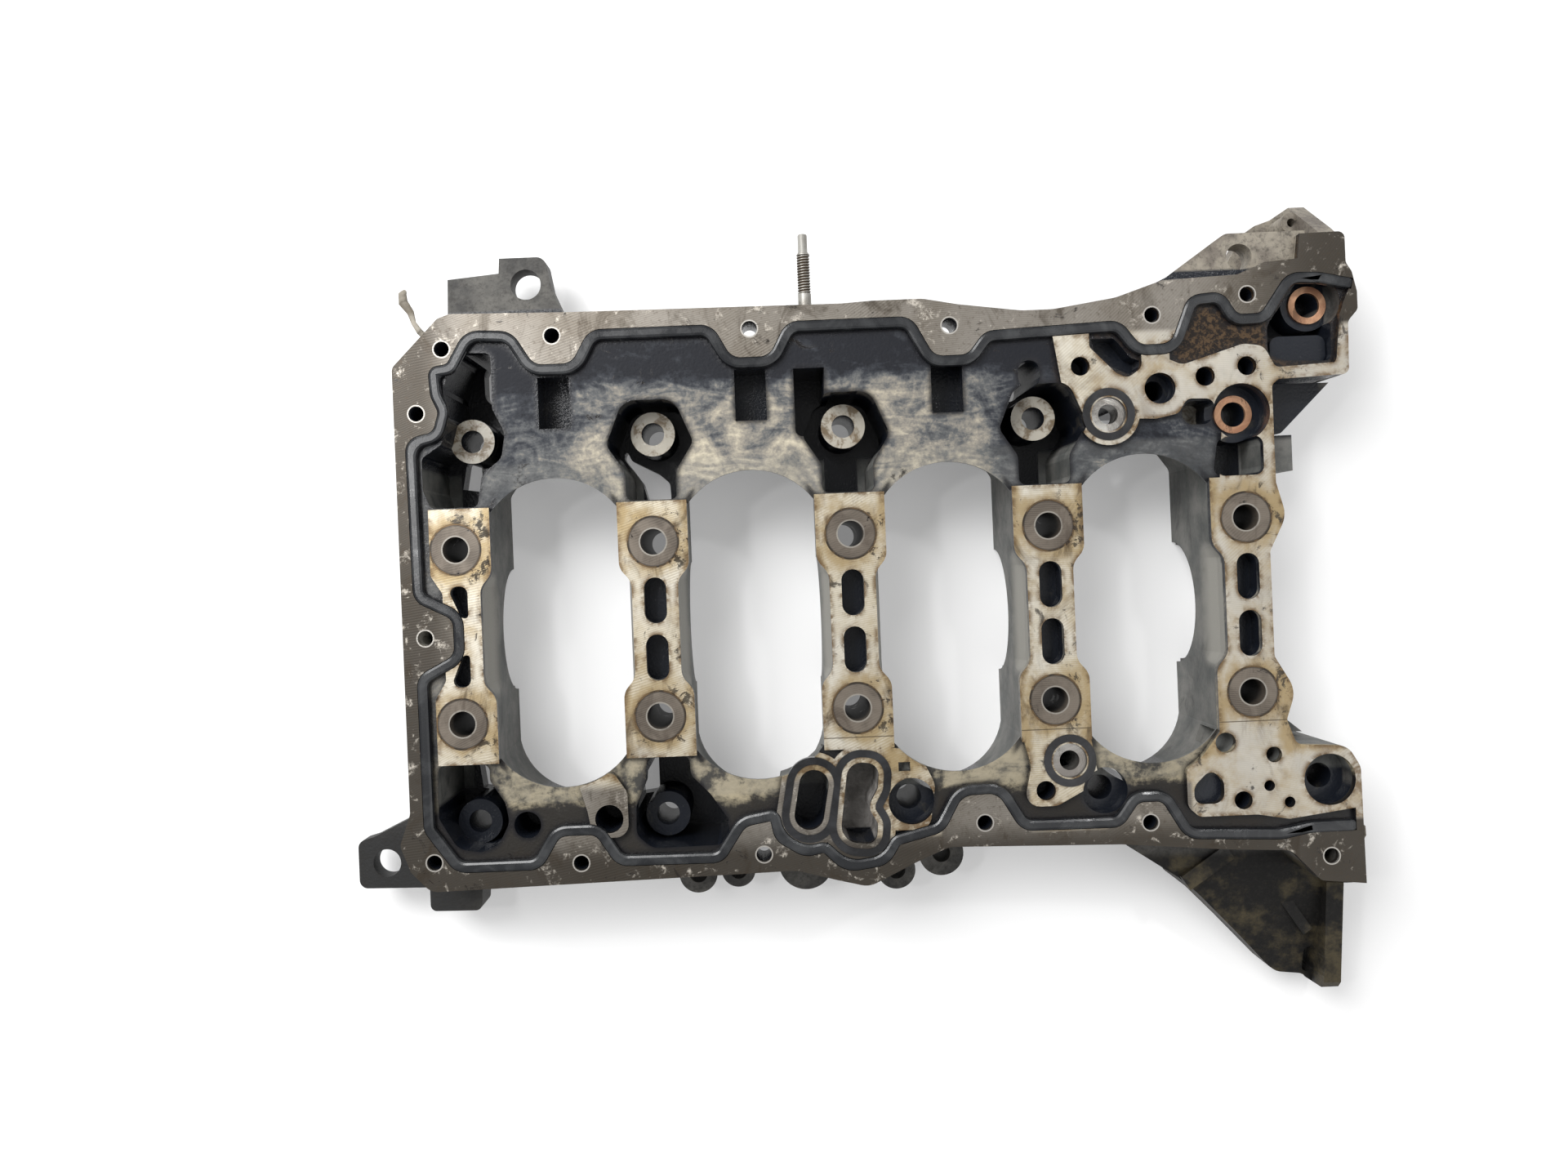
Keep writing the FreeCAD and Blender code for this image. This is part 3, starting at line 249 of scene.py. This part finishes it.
def without(mask):
    return calc(tree, "SUBTRACT", 1.0, mask)


def within(value, low, high, edge=3.0):
    """1 from low to high, falling off over the edge outside them."""
    return both(ease(tree, value, low - edge, low), ease(tree, value, high + edge, high))


# Casting, where things are: heights and places in millimetres, from the middle of the centre bearing.
TOP, DECK, TOWER_TOP = 60, 57, 38
WEB_PAD_END, INSERT_RADIUS = 66, 11
FRONT_LOBE = (-192, 0, TOP)
away = calc(tree, "ABSOLUTE", y)
from_web = calc(tree, "ABSOLUTE", sideways)
faces_up = ease(tree, up, 0.8, 0.95)
facing = add(tree, "SeparateXYZ", {0: add(tree, "NewGeometry", output="Normal")}, output="Y")
milled = both(ease(tree, z, TOP - 0.5, TOP - 0.2), faces_up)
lobe = add(tree, "VectorMath", {0: place, 1: FRONT_LOBE}, output="Value", operation="DISTANCE")
web_pads = both(ease(tree, away, WEB_PAD_END + 6, WEB_PAD_END), ease(tree, x, -189, -187),
                ease(tree, lobe, 17, 18.5))
upper_plate = both(ease(tree, x, 84, 88), within(y, 0, 122))
lower_plates = both(ease(tree, x, -12, -8), within(y, -95, 0))
rail_lobes = both(either(within(x, 36, 74, 2), within(x, 110, 146, 2)), ease(tree, y, -76, -79))
pads = both(either(web_pads, upper_plate, lower_plates), without(rail_lobes))
on_web = ease(tree, away, 70, 64)
upper_half, lower_half = ease(tree, y, 0, 10), ease(tree, y, -50, -62)
outside = either(both(ease(tree, y, 116, 122), ease(tree, facing, 0.2, 0.5)),
                 both(ease(tree, y, -86, -92), ease(tree, facing, -0.2, -0.5)))
pocket = both(within(x, -196, 219, 1.5), within(y, -106, 150, 1.5), ease(tree, z, DECK - 0.1, DECK - 0.6),
              without(outside))
window = both(ease(tree, away, 77, 74), ease(tree, from_web, 7.5, 8.5), ease(tree, z, DECK + 0.5, DECK - 1))
arch = both(ease(tree, from_web, 17, 21), ease(tree, away, 80, 76))
port = both(within(x, -9.5, 9, 1), within(y, -97, -64, 1), ease(tree, z, TOP - 0.6, TOP - 1.2))
seats = both(within(z, TOWER_TOP - 0.2, TOWER_TOP + 0.6, 0.3), faces_up, upper_half)
under = both(ease(tree, up, -0.8, -0.95), ease(tree, z, 0.4, 0.1))
wide = noise(tree, place, 0.018, detail=4, distortion=0.6)
patchy = noise(tree, place, 0.05, detail=6, rough=0.66)
close = noise(tree, place, 0.16, detail=5, distortion=0.4, rough=0.7)
speckle = noise(tree, place, 0.45, detail=4, rough=0.75)

# Casting, milled faces: bare bright metal on the webs and plates, with golden varnish towards their edges and round
# the bolts. On the flange it is tarnished, with soil at the front, the rear and the lower side.
PALE_MILLED, GOLDEN_MILLED, GREY_MILLED = (0.54, 0.505, 0.43, 1), (0.44, 0.38, 0.27, 1), (0.36, 0.34, 0.31, 1)
CUTTER_SHINE, VARNISH, BURNT_OIL = (0.74, 0.71, 0.63, 1), (0.31, 0.225, 0.105, 1), (0.07, 0.048, 0.028, 1)
TARNISHED, DARK_TARNISHED, TARNISH_SHINE = (0.19, 0.173, 0.15, 1), (0.12, 0.103, 0.082, 1), (0.36, 0.335, 0.30, 1)
SOIL, SPECKS, SCRAPES = (0.04, 0.034, 0.027, 1), (0.06, 0.045, 0.032, 1), (0.50, 0.46, 0.40, 1)
FLANGE_OIL = (0.04, 0.03, 0.02, 1)
pad_color = mix(tree, ease(tree, wide, 0.35, 0.65), PALE_MILLED, GOLDEN_MILLED)
pad_color = mix(tree, share(tree, arcs, 0.4), pad_color, CUTTER_SHINE)
pad_color = mix(tree, both(ease(tree, x, 100, 125), mottle), pad_color, GREY_MILLED)
web_edge = both(ease(tree, from_web, 8.5, 15), on_web)
halo = both(ease(tree, radius, 20, INSERT_RADIUS), on_web)
varnish = calc(tree, "ADD", share(tree, either(web_edge, halo), 0.22), patchy)
pad_color = mix(tree, share(tree, ease(tree, varnish, 0.42, 0.78), 0.85), pad_color, VARNISH)
grimy = calc(tree, "ADD", share(tree, either(web_edge, halo), 0.6), 0.35)
pad_color = mix(tree, both(stain, grimy), pad_color, BURNT_OIL)
soil = either(ease(tree, x, -165, -190), ease(tree, y, -88, -104), ease(tree, x, 150, 215))
flange_color = mix(tree, ease(tree, wide, 0.38, 0.66), TARNISHED, DARK_TARNISHED)
flange_color = mix(tree, share(tree, arcs, 0.2), flange_color, TARNISH_SHINE)
flange_color = mix(tree, share(tree, soil, 0.9), flange_color, SOIL)
flange_color = mix(tree, share(tree, ease(tree, speckle, 0.52, 0.72), 0.6), flange_color, SPECKS)
scraped = both(ease(tree, close, 0.56, 0.70), ease(tree, speckle, 0.62, 0.45))
flange_color = mix(tree, scraped, flange_color, SCRAPES)
flange_color = mix(tree, share(tree, stain, 0.75), flange_color, FLANGE_OIL)
milled_color = mix(tree, pads, flange_color, pad_color)

# Casting, deck: the tone is a sum of swirls and broad changes, darker along the flange, at the front and behind web
# 4, and a ramp turns it from black oil through blue-grey to bare metal. The lower half is golden and black.
DECK_TONES = ((0.10, (0.006, 0.007, 0.011, 1)), (0.88, (0.56, 0.50, 0.38, 1)), (0.28, (0.026, 0.029, 0.036, 1)),
              (0.44, (0.095, 0.098, 0.10, 1)), (0.60, (0.24, 0.22, 0.185, 1)), (0.74, (0.40, 0.36, 0.28, 1)))
GOLDEN_DARK, GOLDEN_LIGHT, LOWER_BLACK = (0.020, 0.017, 0.013, 1), (0.34, 0.29, 0.19, 1), (0.02, 0.016, 0.012, 1)
CRUST_DARK, CRUST_RUST = (0.010, 0.006, 0.004, 1), (0.075, 0.045, 0.022, 1)
stretched = add(tree, "VectorMath", {0: place, 1: (0.35, 1.0, 1.0)}, operation="MULTIPLY")
swirl = noise(tree, stretched, 0.12, detail=6, distortion=2.2, rough=0.6)
tone = calc(tree, "ADD", share(tree, mottle, 0.95), share(tree, swirl, 0.62))
tone = calc(tree, "ADD", tone, share(tree, speckle, 0.42))
tone = calc(tree, "SUBTRACT", tone, 0.53)
# The darkening along the flange, on both sides, is partly painted shade at the foot of the flange's step and partly
# oil.
for where, change in ((both(within(x, -90, 40, 30), ease(tree, y, 116, 104), upper_half), 0.06),
                      (ease(tree, y, 103, 119), -0.45), (ease(tree, y, -72, -85), -0.55),
                      (both(ease(tree, x, -110, -150), upper_half), -0.16),
                      (both(ease(tree, x, 55, 80), upper_half), -0.26), (ease(tree, away, 90, 72), 0.09)):
    tone = calc(tree, "ADD", tone, share(tree, where, change))
deck_ramp = add(tree, "ValToRGB", {0: tone})
stops = deck_ramp.node.color_ramp.elements
for stop, (position, color) in zip(stops, DECK_TONES):
    stop.position, stop.color = position, color
for position, color in DECK_TONES[2:]:
    stops.new(position).color = color
golden = mix(tree, ease(tree, tone, 0.22, 0.64), GOLDEN_DARK, GOLDEN_LIGHT)
deck_color = mix(tree, share(tree, lower_half, 0.85), deck_ramp, golden)
deck_color = mix(tree, both(lower_half, ease(tree, patchy, 0.50, 0.40)), deck_color, LOWER_BLACK)
crust = both(ease(tree, x, 92, 100), ease(tree, y, 96, 104))
deck_color = mix(tree, crust, deck_color, mix(tree, ease(tree, speckle, 0.45, 0.6), CRUST_DARK, CRUST_RUST))

# Casting, pockets, window walls and outside: cavities of wet oil painted near black, a painted shade that deepens
# downwards, grey cast walls, and a dusty dark outer skin, nearly black on the lower gearbox wing and paler on the
# upper ear.
POCKET_DEEP_SHADE, POCKET_UPPER_SHADE, POCKET_SLUDGE = (0.003, 0.004, 0.007, 1), (0.009, 0.011, 0.016, 1), (0.05, 0.045, 0.036, 1)
WALL_DARK, WALL_LIGHT, WALL_OIL = (0.11, 0.115, 0.11, 1), (0.22, 0.215, 0.20, 1), (0.035, 0.035, 0.034, 1)
WALL_UPPER_MIDDLE, UNDERSIDE = (0.33, 0.32, 0.29, 1), (0.42, 0.39, 0.33, 1)
OUTER_DARK, OUTER_LIGHT, OUTER_SOOT = (0.045, 0.044, 0.042, 1), (0.115, 0.11, 0.10, 1), (0.02, 0.018, 0.016, 1)
FRONT_SOOT, WING_BLACK, WING_MUD = (0.022, 0.022, 0.022, 1), (0.007, 0.0065, 0.006, 1), (0.062, 0.050, 0.028, 1)
EAR_DARK, EAR_LIGHT = (0.15, 0.13, 0.11, 1), (0.30, 0.27, 0.22, 1)
PORT_LIGHT, PORT_DARK = (0.30, 0.285, 0.27, 1), (0.16, 0.15, 0.14, 1)
SEAT_LIGHT, SEAT_DARK = (0.42, 0.39, 0.33, 1), (0.17, 0.13, 0.085, 1)
# Painted shade over wet oil: the pockets are near black, darker towards their bottoms.
pocket_shade_and_oil = mix(tree, ease(tree, z, 15, 56), POCKET_DEEP_SHADE, POCKET_UPPER_SHADE)
pocket_shade_and_oil = mix(tree, ease(tree, mottle, 0.6, 0.8), pocket_shade_and_oil, POCKET_SLUDGE)
wall_color = mix(tree, ease(tree, patchy, 0.35, 0.7), WALL_DARK, WALL_LIGHT)
wall_color = mix(tree, share(tree, stain, 0.6), wall_color, WALL_OIL)
# Paler high up on the walls, near the middle of each window.
wall_color = mix(tree, both(ease(tree, away, 30, 24), ease(tree, z, 36, 46)), wall_color, WALL_UPPER_MIDDLE)
outer_color = mix(tree, ease(tree, patchy, 0.35, 0.65), OUTER_DARK, OUTER_LIGHT)
outer_color = mix(tree, both(ease(tree, x, -150, -200), ease(tree, y, -60, -100)), outer_color, FRONT_SOOT)
wing = both(ease(tree, y, -113, -118), ease(tree, x, 100, 110))
outer_color = mix(tree, wing, outer_color, mix(tree, ease(tree, patchy, 0.44, 0.62), WING_BLACK, WING_MUD))
ear = both(ease(tree, x, 120, 135), ease(tree, y, 145, 150))
outer_color = mix(tree, ear, outer_color, mix(tree, ease(tree, patchy, 0.35, 0.6), EAR_DARK, EAR_LIGHT))
outer_color = mix(tree, ease(tree, speckle, 0.45, 0.7), outer_color, mix(tree, 0.55, outer_color, OUTER_SOOT))

color = mix(tree, ease(tree, z, DECK - 0.6, DECK - 0.1), outer_color, deck_color)
color = mix(tree, pocket, color, pocket_shade_and_oil)
color = mix(tree, window, color, wall_color)
color = mix(tree, port, color, mix(tree, ease(tree, close, 0.35, 0.65), PORT_LIGHT, PORT_DARK))
color = mix(tree, seats, color, mix(tree, ease(tree, close, 0.45, 0.62), SEAT_LIGHT, SEAT_DARK))
color = mix(tree, milled, color, milled_color)

# Casting, lines, holes, shade and dirt: dark joints round the cast-in iron, a painted highlight on the turned rims
# of the tapped holes and painted shade down inside them, painted shade with oil in crevices and on the rims of deck
# pockets, and black oil smeared beside the bolts.
SUMP_HOLES = [(-178.6, 128.3), (-129.3, 132.3), (-41.3, 131.8), (47.7, 129.6), (137.9, 130.5), (180.6, 138.0),
              (-191.0, 100.0), (-191.0, 0.0), (-191.0, -100.0), (-125.7, -102.7), (-44.3, -102.2), (54.5, -92.2),
              (128.1, -95.1), (208.0, -113.2)]
IRON_JOINT, WEB_JOINT, HOLE_RIM_HIGHLIGHT = (0.035, 0.028, 0.022, 1), (0.06, 0.045, 0.03, 1), (0.38, 0.36, 0.33, 1)
HOLE_WALL_SHADE, PAD_RIM = (0.05, 0.05, 0.05, 1), (0.14, 0.09, 0.045, 1)
CREVICE_SHADE_AND_OIL, SMEARED_OIL = (0.008, 0.008, 0.010, 1), (0.010, 0.008, 0.007, 1)
iron_joint = both(within(radius, 10.9, 11.5, 0.35), milled, on_web)
color = mix(tree, iron_joint, color, IRON_JOINT)
web_joint = both(within(y, -51.95, -51.7, 0.2), ease(tree, x, -18, -16), milled)
color = mix(tree, share(tree, web_joint, 0.8), color, WEB_JOINT)
color = mix(tree, under, color, UNDERSIDE)
nearest = None
for hole_x, hole_y in SUMP_HOLES:
    distance = add(tree, "VectorMath", {0: place, 1: (hole_x, hole_y, TOP)}, output="Value", operation="DISTANCE")
    nearest = distance if nearest is None else calc(tree, "MINIMUM", nearest, distance)
# Painted highlight: a pale ring on the turned chamfer at the mouth of each tapped hole.
rim_highlight = both(within(nearest, 3.5, 3.9, 0.2), ease(tree, z, TOP - 1.2, TOP - 0.8))
color = mix(tree, rim_highlight, color, HOLE_RIM_HIGHLIGHT)
# Painted shade: the walls of the tapped holes go near black below their mouths.
threaded = both(within(nearest, 3.2, 3.6, 0.1), ease(tree, z, TOP - 2.0, TOP - 4.0))
color = mix(tree, threaded, color, HOLE_WALL_SHADE)
crevice = add(tree, "AmbientOcclusion", {"Distance": 0.005}, output="AO", samples=6)
rim = add(tree, "AmbientOcclusion", {"Distance": 0.003}, output="AO", samples=6, inside=True)
rim = ease(tree, rim, 0.95, 0.6)
on_deck = both(ease(tree, z, DECK - 0.6, DECK), without(milled))
color = mix(tree, both(rim, pads, milled, ease(tree, close, 0.4, 0.6)), color, PAD_RIM)
# Painted shade with oil: black in the crevices that ambient occlusion finds and on the convex rims of deck pockets.
crevice_shade_and_oil = both(ease(tree, crevice, 0.85, 0.45), either(milled, on_deck))
shade_and_oil = either(crevice_shade_and_oil, both(rim, on_deck, without(arch)))
color = mix(tree, share(tree, shade_and_oil, 0.9), color, CREVICE_SHADE_AND_OIL)
smear = both(within(radius, 7.5, 16, 2), ease(tree, sideways, 1, 8), ease(tree, close, 0.54, 0.60), on_web)
black = both(either(film, smear), either(pads, ease(tree, tone, 0.5, 0.35)), ease(tree, z, DECK - 2, DECK))
color = mix(tree, share(tree, black, 0.85), color, SMEARED_OIL)
tree.links.new(color, skin["Base Color"])

# Casting, finish: oil is smooth and non-metallic, milled metal shows its arcs, and the cast skin is grainy. Each
# node's loose triangles are joined and its edges softened by live modifiers.
wet = either(both(pocket, without(either(window, port))), black, shade_and_oil)
dry_rough = blend(tree, milled, 0.58, calc(tree, "ADD", share(tree, arcs, 0.12), 0.36))
tree.links.new(blend(tree, wet, dry_rough, 0.16), skin["Roughness"])
tree.links.new(blend(tree, wet, blend(tree, milled, 0.2, 0.6), 0.0), skin["Metallic"])
relief = blend(tree, milled, share(tree, grain, 0.14), share(tree, arcs, 0.014))
relief = calc(tree, "ADD", relief, share(tree, black, 0.03))
tree.links.new(add(tree, "Bump", {"Strength": 1.0, "Distance": 1 / MILLIMETRES, "Height": relief}), skin["Normal"])


def finish_with(node, finish):
    nodes[node].data.materials.clear()
    nodes[node].data.materials.append(finish)


def rounded(node, radius):
    """Live modifiers that join the loose triangles of a CAD mesh and round its edges."""
    weld = nodes[node].modifiers.new("join", "WELD")
    weld.merge_threshold = 2e-6
    bevel = nodes[node].modifiers.new("round", "BEVEL")
    bevel.width = radius
    bevel.segments = 2
    bevel.limit_method = "ANGLE"
    bevel.angle_limit = math.radians(40)


finish_with("ladder_frame", casting)
rounded("ladder_frame", 0.0005)

# Iron inserts: grey-brown cast iron round the bearings, cast into the webs and milled flush with their pads, where
# only the tops of the bolt columns show.
IRON_LIGHT, IRON_DARK, IRON_SHINE = (0.15, 0.125, 0.10, 1), (0.075, 0.06, 0.047, 1), (0.21, 0.18, 0.145, 1)
COLUMN_EDGE, BOLT_RIM_HIGHLIGHT, IRON_STAIN = (0.03, 0.025, 0.02, 1), (0.26, 0.24, 0.21, 1), (0.05, 0.035, 0.025, 1)
IRON_OIL, BORE_SHADE = (0.012, 0.010, 0.009, 1), (0.03, 0.028, 0.026, 1)
iron, tree, skin = material("milled cast iron", Metallic=0.45)
place, x, y, z, up = add(tree, "Group", node_tree=place_tree).node.outputs
grain, mottle = add(tree, "Group", {"Place": place}, node_tree=grain_tree).node.outputs
arcs = add(tree, "Group", {"Place": place}, node_tree=arcs_tree)
stain, film = add(tree, "Group", {"Place": place}, node_tree=oil_tree).node.outputs
sideways, radius = add(tree, "Group", node_tree=bolt_tree).node.outputs
color = mix(tree, ease(tree, mottle, 0.35, 0.65), IRON_LIGHT, IRON_DARK)
color = mix(tree, share(tree, arcs, 0.3), color, IRON_SHINE)
color = mix(tree, share(tree, ease(tree, radius, 10.3, 10.9), 0.85), color, COLUMN_EDGE)
# Painted highlight: a pale ring on the chamfer at the mouth of each bolt hole.
bolt_rim_highlight = both(ease(tree, radius, 6.55, 6.2), ease(tree, z, TOP - 1, TOP - 0.4))
color = mix(tree, bolt_rim_highlight, color, BOLT_RIM_HIGHLIGHT)
color = mix(tree, share(tree, stain, 0.6), color, IRON_STAIN)
color = mix(tree, film, color, IRON_OIL)
# Painted shade: the bolt bores go darker with depth.
color = mix(tree, ease(tree, z, TOP - 1, TOP - 10), color, BORE_SHADE)
tree.links.new(color, skin["Base Color"])
tree.links.new(blend(tree, film, 0.42, 0.15), skin["Roughness"])
relief = calc(tree, "ADD", share(tree, arcs, 0.01), share(tree, grain, 0.015))
tree.links.new(add(tree, "Bump", {"Strength": 1.0, "Distance": 1 / MILLIMETRES, "Height": relief}), skin["Normal"])
for number in range(1, 6):
    finish_with(f"main_bearing_insert_{number}", iron)


# Sealing bead and rubber seals: dark satin rubber with a dusty bloom and patches of wet oil. The bead was laid as
# paste along the flange and cured there, so its edges are round; the seals are moulded and pressed into grooves.
def rubber(name, dark, bloom, roughness):
    made, tree, skin = material(name, Metallic=0.0)
    place = add(tree, "Group", node_tree=place_tree)
    grain, mottle = add(tree, "Group", {"Place": place}, node_tree=grain_tree).node.outputs
    stain = add(tree, "Group", {"Place": place}, node_tree=oil_tree)
    dusty = ease(tree, mottle, 0.42, 0.68)
    tree.links.new(mix(tree, share(tree, dusty, 0.8), dark, bloom), skin["Base Color"])
    tree.links.new(blend(tree, stain, roughness, 0.12), skin["Roughness"])
    tree.links.new(add(tree, "Bump", {"Strength": 0.6, "Distance": 0.00004, "Height": grain}), skin["Normal"])
    return made


cured_sealant = rubber("cured sealant", (0.010, 0.011, 0.013, 1), (0.042, 0.044, 0.046, 1), 0.28)
seal_rubber = rubber("seal rubber", (0.006, 0.006, 0.007, 1), (0.024, 0.025, 0.028, 1), 0.3)
finish_with("sump_seal_bead", cured_sealant)
rounded("sump_seal_bead", 0.0013)
for node in ("oil_port_seal", "gallery_ring_seal_1", "gallery_ring_seal_2"):
    finish_with(node, seal_rubber)

# Sleeves and washers: turned rings of steel and dull copper, each with its rings about its own centre. The sleeves
# are pressed into the oil passages, and the washers lie on the bolt seats of the gearbox end.
STEEL_LIGHT, STEEL_DARK = (0.50, 0.49, 0.46, 1), (0.24, 0.22, 0.20, 1)
COPPER_LIGHT, COPPER_DARK = (0.60, 0.36, 0.22, 1), (0.28, 0.14, 0.08, 1)
RING_STAIN = (0.03, 0.02, 0.015, 1)


def turned(name, node, bright, dull, metallic):
    made, tree, skin = material(name, Metallic=metallic)
    low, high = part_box(node)
    centre = tuple((a + b) / 2 * MILLIMETRES for a, b in zip(low, high))
    place = add(tree, "Group", node_tree=place_tree)
    rings = add(tree, "Group", {"Place": place, "Centre": centre}, node_tree=rings_tree)
    grain, mottle = add(tree, "Group", {"Place": place}, node_tree=grain_tree).node.outputs
    stain = add(tree, "Group", {"Place": place}, node_tree=oil_tree)
    color = mix(tree, ease(tree, mottle, 0.35, 0.65), bright, dull)
    color = mix(tree, share(tree, rings, 0.25), color, dull)
    tree.links.new(mix(tree, share(tree, stain, 0.6), color, RING_STAIN), skin["Base Color"])
    tree.links.new(blend(tree, stain, 0.32, 0.18), skin["Roughness"])
    tree.links.new(add(tree, "Bump", {"Strength": 1.0, "Distance": 0.00003, "Height": rings}), skin["Normal"])
    finish_with(node, made)


for number in (1, 2):
    turned(f"sleeve steel {number}", f"gallery_sleeve_{number}", STEEL_LIGHT, STEEL_DARK, 0.8)
    turned(f"dull copper {number}", f"seat_washer_{number}", COPPER_LIGHT, COPPER_DARK, 0.7)

# Stud: bare steel, screwed into the upper wall. It is turned on a lathe, with a rolled thread on the outer half of
# its shank and a narrow point that leads the nut on.
STUD_X, STUD_Z = -15.5, 45.0
HOLE_END, WALL_SIDE, SHANK_END, POINT_FROM, POINT_END = 132.7, 141.5, 167.3, 168.5, 176.5
IN_HOLE, SHANK, THREAD_CREST, THREAD_CORE, INNER_CORE, POINT = 2.6, 3.0, 2.97, 2.42, 2.2, 2.15
THREAD_FROM, THREAD_TURNS, PITCH, TURN_STEPS = 148.5, 14, 1.25, 20
STUD_LIGHT, STUD_DARK = (0.38, 0.37, 0.34, 1), (0.20, 0.185, 0.16, 1)
GROOVE_GRIME, STUD_STAIN = (0.085, 0.055, 0.03, 1), (0.10, 0.075, 0.05, 1)


def lathe(form, profile, steps, turns=1, rise=0.0):
    """Spins a profile of (radius, y) about the stud's axis; rise is how far it moves along in a step."""
    points = [form.verts.new((STUD_X + radius, y, STUD_Z)) for radius, y in profile]
    lines = [form.edges.new(pair) for pair in zip(points, points[1:])]
    bmesh.ops.spin(form, geom=points + lines, cent=(STUD_X, 0, STUD_Z), axis=(0, 1, 0), dvec=(0, rise, 0),
                   angle=2 * math.pi * turns, steps=steps * turns, use_merge=rise == 0)


def finished(form, piece_name, crease):
    """Turns faces outwards, shades smooth up to the crease angle, and gives the object, in metres."""
    bmesh.ops.recalc_face_normals(form, faces=form.faces)
    for face in form.faces:
        face.smooth = True
    for edge in form.edges:
        edge.smooth = edge.calc_face_angle(0) < crease
    bmesh.ops.scale(form, vec=[1 / MILLIMETRES] * 3, verts=form.verts)
    mesh = bpy.data.meshes.new(piece_name)
    form.to_mesh(mesh)
    form.free()
    piece = bpy.data.objects.new(piece_name, mesh)
    scene.collection.objects.link(piece)
    return piece


stud_form = bmesh.new()
lathe(stud_form, [(THREAD_CORE, THREAD_FROM), (THREAD_CREST, THREAD_FROM + 0.5), (THREAD_CREST, THREAD_FROM + 0.75),
                  (THREAD_CORE, THREAD_FROM + PITCH)], TURN_STEPS, THREAD_TURNS, PITCH / TURN_STEPS)
bmesh.ops.remove_doubles(stud_form, verts=stud_form.verts, dist=0.02)
bmesh.ops.holes_fill(stud_form, edges=[edge for edge in stud_form.edges if edge.is_boundary])
lathe(stud_form, [(0, HOLE_END), (IN_HOLE - 0.2, HOLE_END), (IN_HOLE, HOLE_END + 0.5), (IN_HOLE, WALL_SIDE),
                  (SHANK, WALL_SIDE + 0.3), (SHANK, THREAD_FROM + 0.9), (INNER_CORE, THREAD_FROM + 1.4),
                  (INNER_CORE, SHANK_END - 0.4), (SHANK - 0.01, SHANK_END - 0.3), (SHANK - 0.01, SHANK_END),
                  (POINT, POINT_FROM), (POINT, POINT_END - 0.5), (POINT - 0.35, POINT_END), (0, POINT_END)], 28)
bmesh.ops.remove_doubles(stud_form, verts=stud_form.verts, dist=0.002)
stud = finished(stud_form, "stud_thread", crease=math.radians(35))
steel, tree, skin = material("bare steel", Metallic=0.6)
place, x, y, z, up = add(tree, "Group", node_tree=place_tree).node.outputs
grain, mottle = add(tree, "Group", {"Place": place}, node_tree=grain_tree).node.outputs
stain = add(tree, "Group", {"Place": place}, node_tree=oil_tree)
axis_point = add(tree, "CombineXYZ", {"X": STUD_X, "Y": y, "Z": STUD_Z})
depth = add(tree, "VectorMath", {0: place, 1: axis_point}, output="Value", operation="DISTANCE")
threaded = both(ease(tree, y, THREAD_FROM, THREAD_FROM + 1), ease(tree, y, 168, 167))
grooves = both(ease(tree, depth, 2.95, 2.7), threaded)
color = mix(tree, ease(tree, mottle, 0.4, 0.65), STUD_LIGHT, STUD_DARK)
color = mix(tree, share(tree, grooves, 0.9), color, GROOVE_GRIME)
tree.links.new(mix(tree, share(tree, stain, 0.5), color, STUD_STAIN), skin["Base Color"])
tree.links.new(blend(tree, mottle, 0.4, 0.6), skin["Roughness"])
tree.links.new(add(tree, "Bump", {"Strength": 0.6, "Distance": 0.00004, "Height": grain}), skin["Normal"])
stud.data.materials.append(steel)
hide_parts("bracket_stud")
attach(stud, "root")

# Sealant wisps: two scraps of dried sealant that came away with the oil pan and still hang on the frame's corners.
# Each is a flattened strand that thins towards its tip, starting inside the wall that holds it.
WISP_LIGHT, WISP_DARK = (0.33, 0.30, 0.25, 1), (0.14, 0.12, 0.09, 1)
scrap, tree, skin = material("dried sealant", Roughness=0.62)
place = add(tree, "Group", node_tree=place_tree)
grain, mottle = add(tree, "Group", {"Place": place}, node_tree=grain_tree).node.outputs
tree.links.new(mix(tree, ease(tree, mottle, 0.35, 0.65), WISP_LIGHT, WISP_DARK), skin["Base Color"])
tree.links.new(add(tree, "Bump", {"Strength": 1.0, "Distance": 0.0003, "Height": grain}), skin["Normal"])


def wisp(name, stations, flatness):
    """A strand through stations of (place, radius), drawn out of a disc one station at a time."""
    form = bmesh.new()
    bmesh.ops.create_circle(form, cap_ends=True, segments=10, radius=1)
    section, held = list(form.verts), Matrix()
    for n, (point, radius) in enumerate(stations):
        before, after = stations[max(n - 1, 0)][0], stations[min(n + 1, len(stations) - 1)][0]
        turn = (Vector(after) - Vector(before)).to_track_quat("Z", "Y").to_matrix().to_4x4()
        wanted = Matrix.Translation(point) @ turn @ Matrix.Diagonal((radius, radius * flatness, 1, 1))
        if n:
            grown = bmesh.ops.extrude_face_region(form, geom=[end_face])["geom"]
            section = [item for item in grown if isinstance(item, bmesh.types.BMVert)]
        bmesh.ops.transform(form, matrix=wanted @ held.inverted(), verts=section)
        end_face = next(face for face in form.faces if set(face.verts) == set(section))
        held = wanted
    piece = finished(form, name, crease=2 * math.pi)
    piece.data.materials.append(scrap)
    soften = piece.modifiers.new("soften", "SUBSURF")
    soften.levels = soften.render_levels = 2
    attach(piece, "root")


wisp("sealant_wisp_front", [((-186, 134, 50), 1.6), ((-190, 138, 52), 1.5), ((-192.5, 142, 52), 1.2),
                            ((-194, 147, 51), 1.7), ((-197.5, 152, 50), 2.3), ((-197.8, 156, 49.5), 2.0),
                            ((-196.5, 158, 49), 0.8)], 0.6)
wisp("sealant_wisp_rear", [((220, -113, 48), 0.6), ((226, -111, 49), 0.55), ((228, -107, 50), 0.5),
                           ((227.6, -103, 50.5), 0.5), ((225, -100.5, 50), 0.5), ((220, -101, 49), 0.45)], 0.7)
